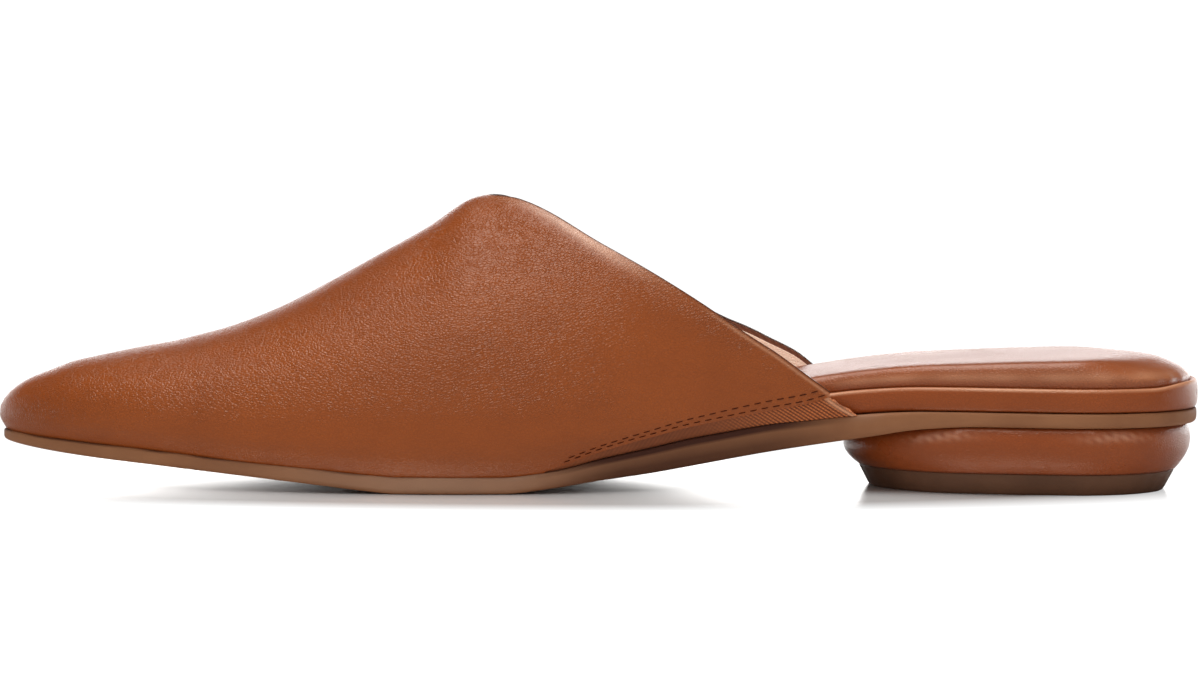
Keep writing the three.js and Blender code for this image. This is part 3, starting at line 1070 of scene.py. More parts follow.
@dataclass(frozen=True)
class Vamp:
    """The moulded leather upper, its lining and the binding tape inside its collar.

    The lining stops a fold's width under the collar edge, and the tape covers its top. turn,
    coat_and_highlight_span, calm_flank and edge_highlight_start are in s, calm_hem is in height less the
    hem's slope, and the other bells are in the distance below the collar edge. Painted shade lies along the
    collar edge, and painted highlights just under it.
    """

    last: Last
    columns: int = 448
    skirt_rows: int = 9
    skirt_flat: float = 6.0
    dome_rows: int = 58
    crowding: float = 1.25
    measure_rows: int = 40
    leather: float = 1.0
    rim_round: float = 0.3
    tuck: float = 0.45
    lining: float = 0.55
    lining_gap: float = 0.02
    lining_tuck: float = -0.4
    fold: float = 1.05
    tape: float = 0.1
    tape_gap: float = 0.06
    tape_lap: float = 0.1
    tape_drop: float = 0.15
    tape_rows: int = 6
    tape_rib: float = 0.5
    tape_relief: float = 0.35
    turn: Bell = Bell(128.0, 12.0, 1.2)
    turn_reach: float = 5.0
    wave_height: float = 0.05
    cut: Bell = Bell(0.0, 0.22)
    edge_shade: Bell = Bell(0.0, 0.7, 0.5)
    calm_flank: Ramp = Ramp(118.0, 34.0, 0.7)
    calm_hem: Ramp = Ramp(17.0, -8.0, 0.7)
    hem_slope: float = 0.04
    collar_grain: Bell = Bell(0.0, 6.0)
    coat_and_highlight_span: Bell = Bell(126.0, 13.0)
    polish: Bell = Bell(0.8, 2.6)
    painted_shine: Bell = Bell(1.2, 1.7, 0.6)
    edge_highlight: Bell = Bell(0.8, 0.35, 0.4)
    edge_highlight_start: Ramp = Ramp(148.0, 14.0)

    def flat_columns(self) -> tuple[np.ndarray, np.ndarray]:
        """Side (1 or -1) of each column and its distance from the middle line in the flat layout."""
        along = np.linspace(-1, 1, self.columns + 1)
        side = np.where(along < 0, -1, 1)
        inner, outer = (self.last.edges[which][-1, 0] for which in Side)
        return side, np.abs(along) * np.where(side > 0, inner, outer)

    def crown(self, below_collar: float, shares: np.ndarray) -> tuple[np.ndarray, np.ndarray]:
        """Rows of the outer face between the widest line and a line under the collar edge.

        Args:
            below_collar: distance from the collar edge to that line, in millimetres along the leather.
            shares: place of each row, 0 on the widest line and 1 on the line under the edge.

        Returns:
            Points by row and column, and the flat height of share 1 in each column.
        """
        last = self.last
        side, u = self.flat_columns()
        top = np.where(side > 0, last.collar_height(Side.INNER, u), last.collar_height(Side.OUTER, u))
        measure = np.linspace(0, 1, self.measure_rows)
        whole = np.stack([last.flat_point(u * side, top * share) for share in measure])
        length = np.linalg.norm(np.diff(whole, axis=0), axis=2).sum(axis=0)
        top = top * np.clip(1 - below_collar / np.maximum(length, 0.1), 0.02, 1)
        return np.stack([last.flat_point(u * side, top * share) for share in shares]), top

    def grid(self, lowest: float, below_collar: float) -> tuple[np.ndarray, np.ndarray, np.ndarray]:
        """Outer face of the upper as a grid, its rows closer together towards the collar.

        Args:
            lowest: how far the lower edge reaches into the sole, in millimetres.
            below_collar: distance kept from the collar edge, in millimetres.

        Returns:
            Points, and the flat layout's u and v, all by row and column.
        """
        last = self.last
        side, u = self.flat_columns()
        s = last.gather(u)
        low = np.where(side > 0, last.gore_share(s), 0.0)
        low = np.where(low <= 0, -lowest / last.depth(s), low)
        steps = [j / self.skirt_rows for j in range(self.skirt_rows)]
        skirt = np.stack([last.skirt_point(side, s, lerp(low, 1.0, step)) for step in steps])
        shares = 1 - (1 - np.linspace(0, 1, self.dome_rows + 1)) ** self.crowding
        crown, top = self.crown(below_collar, shares)
        under = np.linspace(-self.skirt_flat, 0, self.skirt_rows, endpoint=False)
        v = np.concatenate([np.repeat(under[:, None], len(u), axis=1), top * shares[:, None]])
        return np.concatenate([skirt, crown]), np.broadcast_to(u * side, v.shape), v

    def drape(self, points: np.ndarray) -> np.ndarray:
        """Height over the form: the troughs, and slow waves that cross each other.

        Args:
            points: the form by row and column.

        Returns:
            Millimetres by row and column.
        """
        s = points[..., 1] - TOE_Y
        x = points[..., 0] - self.last.centre(s)
        z = points[..., 2]
        waves = np.sin(s / 9.3 + 1.3 * np.sin(z / 11.0)) * np.sin(z / 7.7 + x / 21.0)
        return sum(trough.height(s, z) for trough in FLEX_TROUGHS) + self.wave_height * waves

    def dress(self, piece: Piece, points: np.ndarray, below: np.ndarray) -> None:
        """Stores the painted shade along the collar edge, the painted cut, where the grain is calm, where the
        coat lies and the painted highlights under the collar.

        Args:
            piece: the leather.
            points: its form by row and column.
            below: distance of each point from the collar edge, along the leather.
        """
        s = points[..., 1] - TOE_Y
        flank = self.calm_flank(s) * (1 - self.collar_grain(below))
        hem = self.calm_hem(points[..., 2] - self.hem_slope * s)
        coat_and_highlight_span = self.coat_and_highlight_span(s) * (points[..., 0] > 0)
        edge = self.edge_highlight(below) * self.edge_highlight_start(s)
        # Painted shade: a soft dark band along the collar edge.
        piece.attribute("shade", self.edge_shade(below))
        piece.attribute("cut", self.cut(below))
        piece.attribute("calm", np.maximum(flank, hem))
        piece.attribute("gloss", self.polish(below) * coat_and_highlight_span)
        # Painted highlights: a thin line just under the collar edge towards the back, and a broad band under
        # the collar behind the peak on the inner side.
        piece.attribute("brightened", edge + self.painted_shine(below) * coat_and_highlight_span)

    def build_leather(self, leather: bpy.types.Material) -> None:
        """Makes the outer skin, raised by the drape and turned in a little at the collar edge.

        Args:
            leather: outer leather.
        """
        points, u, v = self.grid(self.tuck, 0.0)
        steps = np.linalg.norm(np.diff(points, axis=0), axis=2)
        below = np.concatenate([np.cumsum(steps[::-1], axis=0)[::-1], np.zeros_like(steps[:1])])
        turned = np.clip(1 - below / self.turn_reach, 0, 1) ** 2 * self.turn(points[..., 1] - TOE_Y)
        skin = points + vertex_normals(points) * (self.drape(points) - turned)[..., None]
        piece = Piece("vamp_leather", skin, grid_faces(*points.shape[:2]))
        piece.layout(u, v)
        self.dress(piece, points, below)
        piece.solidify(self.leather, self.rim_round)
        piece.finish(leather, "upper_leather", "vamp")

    def build_lining(self, lining: bpy.types.Material) -> None:
        """Makes the lining, one leather's thickness inside the form.

        Args:
            lining: lining leather.
        """
        points, u, v = self.grid(self.lining_tuck, self.fold)
        skin = points - vertex_normals(points) * (self.leather + self.lining_gap)
        piece = Piece("vamp_lining", skin, grid_faces(*points.shape[:2]))
        piece.layout(u, v)
        piece.solidify(self.lining)
        piece.finish(lining, "upper_leather")

    def build_binding(self, tape: bpy.types.Material) -> None:
        """Makes the tape that covers the top of the lining, just under the collar edge.

        Args:
            tape: binding tape.
        """
        edge = np.array([1.0])
        low = self.crown(self.fold + self.tape_lap, edge)[0]
        high = self.crown(self.tape_drop, edge)[0]
        strip = lerp(low, high, np.linspace(0, 1, self.tape_rows)[:, None, None])
        strip = strip - vertex_normals(strip) * (self.leather + self.tape_gap)
        y, z = strip[..., 1], strip[..., 2]
        piece = Piece("collar_binding", strip, grid_faces(*strip.shape[:2]))
        piece.layout(y, z)
        piece.attribute("rib", self.tape_relief * (0.5 + 0.5 * np.cos(2 * np.pi * y / self.tape_rib)))
        piece.solidify(self.tape)
        piece.finish(tape, "upper_leather")

    def build(
        self, leather: bpy.types.Material, lining: bpy.types.Material, tape: bpy.types.Material
    ) -> None:
        """Makes the vamp, its lining and the binding inside the collar.

        Args:
            leather: outer leather.
            lining: lining leather.
            tape: binding tape.
        """
        self.build_leather(leather)
        self.build_lining(lining)
        self.build_binding(tape)


@dataclass(frozen=True)
class Gore:
    """Elastic insert under the vamp's inner edge, ribbed along its slanted rear edge."""

    last: Last
    start: float = 118.5
    columns: int = 640
    rows: int = 44
    under_vamp: float = 0.5
    into_sole: float = 0.45
    thickness: float = 1.0
    pitch: float = 0.68
    slant: float = math.radians(33)
    rib: float = 0.13
    plain: float = 0.16
    ribbed: Ramp = Ramp(150.0, 24.0)
    rolled: Bell = Bell(0.8, 0.7)
    roll_height: float = 0.3
    roll_highlight: float = 0.6

    def build(self, material: bpy.types.Material) -> None:
        """Makes the insert: the last's wall, raised by a cosine of the ribs and by a roll at its rear edge.

        Args:
            material: elastic.
        """
        last = self.last
        line = np.linspace(self.start, last.wing_end, self.columns)
        depth = last.depth(line)
        top = last.gore_share(line) + self.under_vamp / depth
        share = lerp(-self.into_sole / depth, top, np.linspace(0, 1, self.rows)[:, None])
        s = np.broadcast_to(line, share.shape)
        points = last.skirt_point(Side.INNER.value, s, share)
        y, z = points[..., 1], points[..., 2]
        across = y * math.sin(self.slant) + z * math.cos(self.slant)
        along = y * math.cos(self.slant) - z * math.sin(self.slant)
        wave = lerp(self.plain, 0.5 + 0.5 * np.cos(2 * np.pi * across / self.pitch), self.ribbed(s))
        roll = self.rolled(last.wing_end - s)
        height = -last.gore_recess + self.rib * wave + self.roll_height * roll
        skin = points + vertex_normals(points) * height[..., None]
        piece = Piece("gore_elastic", skin, grid_faces(*points.shape[:2]))
        piece.layout(along, across)
        piece.attribute("rib", wave)
        # Painted highlight along the rolled rear edge.
        piece.attribute("fold", self.roll_highlight * roll)
        piece.solidify(self.thickness)
        piece.finish(material, "elastic", "gore")


@dataclass(frozen=True)
class Stitching:
    """Two rows of dark stitches over the insert, drawn together towards the toe."""

    last: Last
    pitch: float = 2.5
    length: float = 1.75
    radius: float = 0.1
    end_radius: float = 0.01
    flatness: float = 0.8
    proud: float = 0.09
    dive: float = 0.2
    rings: int = 9
    around: int = 8
    path_points: int = 800
    probe: float = 0.4
    lower_span: tuple[float, float] = (123.0, 179.5)
    upper_span: tuple[float, float] = (124.0, 178.2)
    lower_lift: float = 0.75
    upper_lift: float = 1.35
    parting: Ramp = Ramp(128.0, 40.0, 0.75)

    def row(self, span: tuple[float, float], lift: Curve) -> np.ndarray:
        """Stitches of one row, evenly spaced along the leather.

        Args:
            span: sections where the row starts and stops.
            lift: height over the vamp's lower edge as a function of s.

        Returns:
            Centre, direction and normal of each stitch.
        """
        last = self.last
        s = np.linspace(*span, self.path_points)
        low = last.gore_share(s) * last.depth(s)
        path = last.wall_point(s, low + lift(s))
        run = np.concatenate([[0], np.cumsum(np.linalg.norm(np.diff(path, axis=0), axis=1))])
        middle = np.arange(self.pitch / 2, run[-1], self.pitch)
        place = np.stack([np.interp(middle, run, path[:, k]) for k in range(3)], axis=1)
        ahead = np.stack([np.interp(middle + self.probe, run, path[:, k]) for k in range(3)], axis=1)
        at = np.interp(middle, run, s)
        above = last.wall_point(at, last.gore_share(at) * last.depth(at) + lift(at) + self.probe)
        along = unit(ahead - place)
        return np.stack([place, along, unit(np.cross(along, above - place))], axis=1)

    def loops(self, stitches: np.ndarray) -> np.ndarray:
        """Rings of every stitch: a flattened circle carried along a line that dives in at both ends.

        Args:
            stitches: centre, direction and normal of each stitch.

        Returns:
            Points by stitch, ring and place round the ring.
        """
        t = np.linspace(-1, 1, self.rings)
        turn = np.linspace(0, 2 * np.pi, self.around, endpoint=False)
        body = np.sqrt(np.clip(1 - t**4, 0.0, 1)) * self.radius + self.end_radius
        place, along, out = stitches[:, 0], stitches[:, 1], stitches[:, 2]
        across = unit(np.cross(out, along))
        line = place[:, None] + along[:, None] * (t * self.length / 2)[None, :, None]
        sag = out[:, None] * (self.proud - self.dive * t**4)[None, :, None]
        wide = across[:, None, None] * np.cos(turn)[None, None, :, None]
        high = out[:, None, None] * np.sin(turn)[None, None, :, None] * self.flatness
        return (line + sag)[:, :, None] + (wide + high) * body[None, :, None, None]

    def faces(self, count: int) -> np.ndarray:
        """Faces of all stitches: the sides of each and the strips of quads that close its ends.

        Args:
            count: number of stitches.

        Returns:
            Array of four point numbers per face.
        """
        sides = grid_faces(self.rings, self.around, ring=True)
        i = np.arange(1, self.around - 1, 2)
        start = np.stack([0 * i, i + 2, i + 1, i], axis=1)
        stop = start[:, ::-1] + (self.rings - 1) * self.around
        one = np.concatenate([sides, start, stop])
        first = np.arange(count) * self.rings * self.around
        return (one[None] + first[:, None, None]).reshape(-1, 4)

    def build(self, material: bpy.types.Material) -> None:
        """Makes both rows as one piece.

        Args:
            material: thread.
        """
        lower = self.row(self.lower_span, lambda s: np.full_like(s, self.lower_lift))
        upper = self.row(self.upper_span, lambda s: self.upper_lift + self.parting(s))
        stitches = np.concatenate([lower, upper])
        piece = Piece("gore_stitches", self.loops(stitches), self.faces(len(stitches)))
        piece.finish(material, "upper_leather")


@dataclass(frozen=True)
class Outsole:
    """Thin rubber sole with a softly rounded edge, which leans in at the waist.

    Its rings are pairs of inset and share of the height. Names that begin with ring_ are ramps over that
    share; the other bells and ramps are in s.
    """

    last: Last
    count: int = 260
    rings: Profile = (
        (2.4, 0.0),
        (1.1, 0.0),
        (0.55, 0.05),
        (0.2, 0.15),
        (0.04, 0.3),
        (0.0, 0.5),
        (0.0, 0.7),
        (0.03, 0.82),
        (0.12, 0.92),
        (0.35, 0.99),
        (0.8, 1.0),
        (2.2, 1.0),
    )
    waves: tuple[Wave, ...] = (Wave(0.05, 6.1), Wave(0.04, 2.7, 1.0))
    edge_inset: float = 0.3
    waist_start: Ramp = Ramp(112.0, 26.0)
    waist_end: Ramp = Ramp(192.0, -26.0)
    waist_depth: float = 2.4
    waist_shade: float = 0.55
    waist_middle: Bell = Bell(146.0, 24.0)
    middle_shade: float = 0.25
    ring_light: Ramp = Ramp(0.3, 0.35, 0.35)
    ring_groove_shadow: Ramp = Ramp(0.72, 0.14, 0.8)
    ring_seam: Ramp = Ramp(0.84, 0.1, 0.75)
    ring_cement: Ramp = Ramp(0.6, 0.3)
    ring_side: Ramp = Ramp(0.05, 0.2)
    seam_end: Ramp = Ramp(60.0, 40.0)
    cement: tuple[Bell, ...] = (Bell(114.0, 3.5), Bell(188.5, 3.5))
    ball_lightening: Bell = Bell(96.0, 30.0, 0.3)

    def waist(self, s: np.ndarray) -> np.ndarray:
        """How far a section belongs to the waist, from 0 to 1."""
        return self.waist_start(s) * self.waist_end(s)

    def shade(self, ups: np.ndarray, s: np.ndarray, run: np.ndarray) -> np.ndarray:
        """Darkness of the edge: painted shade over the waist, deepest in the groove under the insert and
        darker again towards the tread, and a broken dark line along the seam round the toe.

        Args:
            ups: share of the height of each ring.
            s: section of each point of the outline.
            run: distance round the outline of each of its points.

        Returns:
            Darkness from 0 to 1 by ring and point.
        """
        waist = self.waist(s)
        # Painted shade: the waist's edge leans in towards the floor, and the insert overhangs its top.
        rings = self.waist_shade - self.ring_light(ups) + self.ring_groove_shadow(ups)
        breaks = 0.5 + 0.5 * np.sin(run / 3.1 + 2 * np.sin(run / 7.7))
        seam = self.ring_seam(ups)[:, None] * breaks * (1 - self.seam_end(s))
        dark = waist * rings[:, None] + self.middle_shade * waist * self.waist_middle(s) + seam
        return np.clip(dark, 0, 1)

    def build(self, material: bpy.types.Material) -> None:
        """Makes the sole, its edge leaning in towards the tread at the waist.

        Args:
            material: rubber.
        """
        last = self.last
        insets, ups = np.array(self.rings).T
        plan = Outline(
            last.centre, lambda s: last.bottom_half(s, SOLE_TIP, SOLE_END), SOLE_TIP, SOLE_END, self.count
        )
        s = plan.points[:, 1]
        lean = self.waist_depth * self.waist(s) * (1 - ups)[:, None]
        piece = RingPiece(
            "outsole_rubber",
            plan,
            insets[:, None] + lean - plan.uneven(self.waves) * (insets < self.edge_inset)[:, None],
            lambda at, k: last.tread(at) + last.thick(at) * ups[k],
        )
        cement = np.clip(sum(bell(s) for bell in self.cement), 0, 1)
        piece.attribute("rim", self.ring_cement(ups)[:, None] * cement)
        piece.attribute("shade", self.shade(ups, s, plan.run))
        # Lighter on the side of the edge round the ball.
        piece.attribute("brightened", self.ball_lightening(s) * self.ring_side(ups)[:, None])
        piece.finish(material, "sole_rubber", "outsole")


@dataclass(frozen=True)
class Platform:
    """Insole board wrapped in leather: its edge shows behind the wings.

    Its rings are pairs of inset and share of the board's height. lightened, the band of the painted
    highlight on the rim, is in that share, lip_inside is in the inset, and the other ramps are in s.
    """

    last: Last
    tip: float = 5.0
    inside: float = 2.7
    flare: Ramp = Ramp(172.0, 38.0)
    count: int = 260
    rings: Profile = (
        (1.8, -0.05),
        (1.0, -0.04),
        (0.5, 0.0),
        (0.24, 0.07),
        (0.08, 0.17),
        (0.0, 0.32),
        (0.0, 0.52),
        (0.04, 0.7),
        (0.14, 0.82),
        (0.3, 0.91),
        (0.55, 0.965),
        (0.9, 0.99),
        (1.3, 1.0),
        (1.8, 1.0),
        (2.2, 1.0),
        (3.5, 1.0),
    )
    waves: tuple[Wave, ...] = (Wave(0.06, 5.3), Wave(0.05, 2.1, 0.7))
    edge_inset: float = 1.0
    lip: float = 1.1
    lip_inside: Ramp = Ramp(0.9, 1.2)
    lip_back: Ramp = Ramp(250.0, 10.0)
    hidden_shade: float = 0.9
    hidden_below: float = 0.04
    hidden_inset: float = 1.5
    lightened: Bell = Bell(0.95, 0.05)
    highlight_inset: float = 1.2
    rim_highlight: float = 0.65
    rim_highlight_wave: Wave = Wave(0.15, 7.0)

    def outline(self) -> Outline:
        """Outline on the edge of the sole, before the inset that clears the upper."""
        last = self.last
        first = self.tip - self.inside
        return Outline(last.centre, lambda s: last.bottom_half(s, first, LENGTH), first, LENGTH, self.count)

    def clearance(self, s: np.ndarray) -> np.ndarray:
        """Inset that keeps the board inside the upper."""
        return lerp(self.inside, 0.0, self.flare(s))

    def build(self, material: bpy.types.Material) -> None:
        """Makes the board, its rim raised in a low lip round the back.

        Args:
            material: wrap leather.
        """
        last = self.last
        insets, ups = np.array(self.rings).T
        plan = self.outline()
        base = self.clearance(plan.points[:, 1])
        lip = self.lip * (1 - self.lip_inside(insets)) * np.clip(ups, 0, 1)
        piece = RingPiece(
            "platform_wrap",
            plan,
            insets[:, None] + base - plan.uneven(self.waves) * (insets < self.edge_inset)[:, None],
            lambda s, k: last.feather(s) + last.board(s) * ups[k] + lip[k] * self.lip_back(s),
        )
        # Painted shade on the rings tucked in at the board's foot and on its top hidden under the cushion.
        seam = ups < self.hidden_below
        inside = (insets > self.hidden_inset) & (ups > 0.5)
        piece.attribute("shade", np.repeat(self.hidden_shade * (seam | inside), len(plan.run)))
        # Painted highlight along the upper edge of the rim.
        rim_highlight = self.lightened(ups)[:, None] * (self.rim_highlight + self.rim_highlight_wave(plan.run))
        piece.attribute("brightened", rim_highlight * (insets < self.highlight_inset)[:, None])
        piece.finish(material, "upper_leather", "platform")


@dataclass(frozen=True)
class Footbed:
    """Padded leather footbed: a crowned cushion sewn down on the platform, puckered round the heel.

    Names that begin with edge_ are bells over t, the place on the cushion's edge from the seam to the flat
    top; the other bells and ramps are in s.
    """

    platform: Platform
    ledge: float = 1.8
    front_share: float = 0.25
    front_end: Ramp = Ramp(60.0, 110.0)
    back: Ramp = Ramp(231.0, 26.0)
    rows: int = 44
    plain_pucker: float = 0.05
    heel_pucker: Ramp = Ramp(226.0, 14.0, 0.3)
    wing_pucker: Bell = Bell(192.0, 12.0, 0.1)
    pucker_out: float = 0.6
    pucker_up: float = 0.25
    edge_pucker: Bell = Bell(0.2, 0.17)
    edge_seam_shade: Bell = Bell(0.0, 0.09, 0.9)
    edge_sheen: Bell = Bell(0.31, 0.1)
    sheen_start: Ramp = Ramp(176.0, 12.0)
    sheen_end: Ramp = Ramp(264.0, -10.0)
    sheen: float = 0.27
    sheen_play: float = 0.1

    def puckers(self, s: np.ndarray, run: np.ndarray, t: np.ndarray) -> np.ndarray:
        """Small folds along the seam: a sine of the run with a wandering pitch, strongest round the heel.

        Args:
            s: section of each point of the outline.
            run: distance round the outline of each of its points.
            t: place of each ring on the edge.

        Returns:
            Strength by ring and point.
        """
        folds = np.sin(run / 1.15 + 1.7 * np.sin(run / 6.1)) * (0.6 + 0.4 * np.sin(run / 3.3))
        strength = self.plain_pucker + self.heel_pucker(s) + self.wing_pucker(s)
        return self.edge_pucker(t)[:, None] * folds * strength

    def build(self, material: bpy.types.Material) -> None:
        """Makes the cushion.

        Args:
            material: footbed leather.
        """
        last = self.platform.last
        plan = self.platform.outline()
        run = plan.run
        s = plan.points[:, 1]
        t = np.linspace(0, 1, self.rows)
        ups = CUSHION_EDGE.curve("up")(t)
        sides = CUSHION_EDGE.curve("side")(t)[:, None] * lerp(self.front_share, 1.0, self.front_end(s))
        insets = lerp(sides, CUSHION_EDGE.curve("back")(t)[:, None], self.back(s))
        pucker = self.puckers(s, run, t)
        rise = self.pucker_up * pucker
        piece = RingPiece(
            "footbed_cushion",
            plan,
            self.platform.clearance(s) + self.ledge + insets + self.pucker_out * pucker,
            lambda at, k: last.platform_top(at) + GAP + last.cushion(at) * ups[k] + rise[k],
        )
        # Painted shade in the seam, where the cushion tucks under its edge.
        piece.attribute("shade", np.repeat(self.edge_seam_shade(t), len(run)))
        # Painted highlight: a band of sheen part way up the side of the cushion's back part.
        sheen = self.edge_sheen(t)[:, None] * self.sheen_start(s) * self.sheen_end(s)
        play = self.sheen_play * np.sin(run / 2.3) * np.sin(run / 7.9)
        piece.attribute("brightened", sheen * (self.sheen + play))
        piece.finish(material, "footbed_leather", "footbed")


@dataclass(frozen=True)
class HeelFold:
    """One small fold of the heel cover: up is a share of the cover's height, and s is given at the level."""

    side: Side
    s: float
    up: float
    slant: float
    width: float
    reach: float
    depth: float
    level: float = 0.8

    def height(self, s: np.ndarray, up: np.ndarray, side: np.ndarray) -> np.ndarray:
        """Height over the cover: a bell across the slanted line, faded above and below, on its own side.

        Args:
            s: section of each point.
            up: share of the cover's height.
            side: 1 on the inner side of the foot, -1 on the outer.

        Returns:
            Millimetres by ring and point.
        """
        across = s - (self.s + self.slant * (up - self.level))
        own = side == self.side.value
        return self.depth * hump(across, 0.0, self.width) * hump(up, self.up, self.reach) * own


HEEL_FOLDS = (
    HeelFold(Side.INNER, 199.5, 0.82, 6.0, 1.2, 0.16, 0.308),
    HeelFold(Side.INNER, 203.5, 0.84, 7.0, 1.1, 0.14, -0.264),
    HeelFold(Side.INNER, 207.5, 0.8, 8.0, 1.4, 0.15, 0.286),
    HeelFold(Side.INNER, 238.0, 0.82, -6.0, 1.2, 0.16, 0.286),
    HeelFold(Side.INNER, 242.0, 0.84, -7.0, 1.1, 0.15, -0.264),
    HeelFold(Side.INNER, 246.0, 0.8, -7.0, 1.3, 0.15, 0.264),
    HeelFold(Side.OUTER, 203.0, 0.82, 6.0, 1.3, 0.16, 0.264),
    HeelFold(Side.OUTER, 241.0, 0.82, -6.0, 1.3, 0.16, 0.264),
)


@dataclass(frozen=True)
class Heel:
    """Oval heel block with a soft leather cover, and the rubber tip under it.

    Names that begin with up_ are bells over the share of the cover's height, from its foot to the sole. The
    side of the tip is a line through pairs of height and inset, read at its levels.
    """

    last: Last
    front: float = 184.8
    end: float = 260.3
    front_round: float = 24.0
    end_round: float = 28.0
    count: int = 200
    rows: int = 44
    tip_height: float = 4.6
    cover_gap: float = 0.05
    foot_inset: float = 3.1
    foot_round: float = 0.64
    head_inset: float = 1.5
    head_round: float = 0.35
    ripple: float = 0.1
    up_foot_shade: Bell = Bell(0.0, 0.04, 0.85)
    up_head_shade: Bell = Bell(1.0, 0.19, 0.6)
    polish: tuple[Bell, ...] = (Bell(204.5, 6.5), Bell(242.5, 7.5))
    up_polish: Bell = Bell(0.8, 0.09)
    polish_wave: Wave = Wave(0.02, 2.9)
    painted_shine: float = 0.2
    tip_levels: tuple[float, ...] = (0.0, 0.3, 0.5, 2.0, 4.0, 4.45, 4.6)
    tip_side: Profile = ((0.0, 5.75), (0.5, 5.3), (4.1, 3.4), (4.6, 3.5))
    tip_waves: tuple[Wave, ...] = (Wave(0.05, 2.3), Wave(0.04, 0.9, 2.0))
    tip_rim: Ramp = Ramp(3.8, 0.8, 0.3)

    def outline(self) -> Outline:
        """Widest outline of the cover."""
        last = self.last

        def half(s: Number) -> Number:
            """Half width: the sole's, rounded off by a quarter circle at each end."""
            front = dome((s - self.front) / self.front_round)
            return last.half(s) * front * dome((self.end - s) / self.end_round)

        return Outline(last.centre, half, self.front, self.end, self.count)

    def swell(self, plan: Outline, up: np.ndarray) -> np.ndarray:
        """Height of the cover's slow ripple and of its folds.

        Args:
            plan: outline of the cover.
            up: share of the height of each ring, one to a row.

        Returns:
            Height in millimetres by ring and point.
        """
        s = plan.points[:, 1]
        side = np.sign(plan.points[:, 0] - self.last.centre(s))
        folds = sum(fold.height(s, up, side) for fold in HEEL_FOLDS)
        return self.ripple * np.sin(plan.run / 4.3 + 2.2 * up) * np.sin(up * np.pi) + folds

    def build_cover(self, plan: Outline, leather: bpy.types.Material) -> None:
        """Makes the cover: drawn in towards the tip by a square curve, rounded under the sole by a circle.

        Args:
            plan: outline of the cover.
            leather: cover leather.
        """
        last = self.last
        run = plan.run
        up = np.linspace(0, 1, self.rows)[:, None]
        foot = self.foot_inset * (1 - np.clip(up / self.foot_round, 0, 1)) ** 2
        head = self.head_inset * (1 - dome((1 - up) / self.head_round))
        swell = self.swell(plan, up)
        low = self.tip_height + self.cover_gap
        piece = RingPiece(
            "heel_cover",
            plan,
            foot + head - swell,
            lambda at, k: lerp(low, last.tread(at) + self.cover_gap, k / (self.rows - 1)),
        )
        # Painted shade at the cover's foot by the tip and at its head under the sole.
        piece.attribute("shade", np.broadcast_to(self.up_foot_shade(up) + self.up_head_shade(up), swell.shape))
        # Two patches near the top of the cover carry a coat and a crinkled painted highlight.
        polish = sum(bell(plan.points[:, 1]) for bell in self.polish)
        polish = polish * self.up_polish(up - self.polish_wave(run))
        crinkle = np.sin(run / 0.42 + 26 * up) * np.sin(run / 1.9 - 14 * up)
        piece.attribute("gloss", polish)
        piece.attribute("brightened", polish * self.painted_shine * (1 + crinkle))
        piece.finish(leather, "upper_leather", "heel")

    def build_tip(self, plan: Outline, rubber: bpy.types.Material) -> None:
        """Makes the tip, its sides sloping in towards the floor.

        Args:
            plan: outline of the cover.
            rubber: tip rubber.
        """
        levels = np.array(self.tip_levels)
        insets = np.interp(levels, *np.array(self.tip_side).T)
        piece = RingPiece(
            "heel_tip",
            plan,
            insets[:, None] + plan.uneven(self.tip_waves),
            lambda at, k: np.full_like(at, levels[k]),
        )
        piece.attribute("rim", np.repeat(self.tip_rim(levels), len(plan.run)))
        piece.finish(rubber, "lift_rubber", "top_lift")

    def build(self, cover: bpy.types.Material, rubber: bpy.types.Material) -> None:
        """Makes the cover and the tip.

        Args:
            cover: cover leather.
            rubber: tip rubber.
        """
        plan = self.outline()
        self.build_cover(plan, cover)
        self.build_tip(plan, rubber)


# ---- stage --------------------------------------------------------------------------------------

WHITE = (1.0, 1.0, 1.0, 1.0)


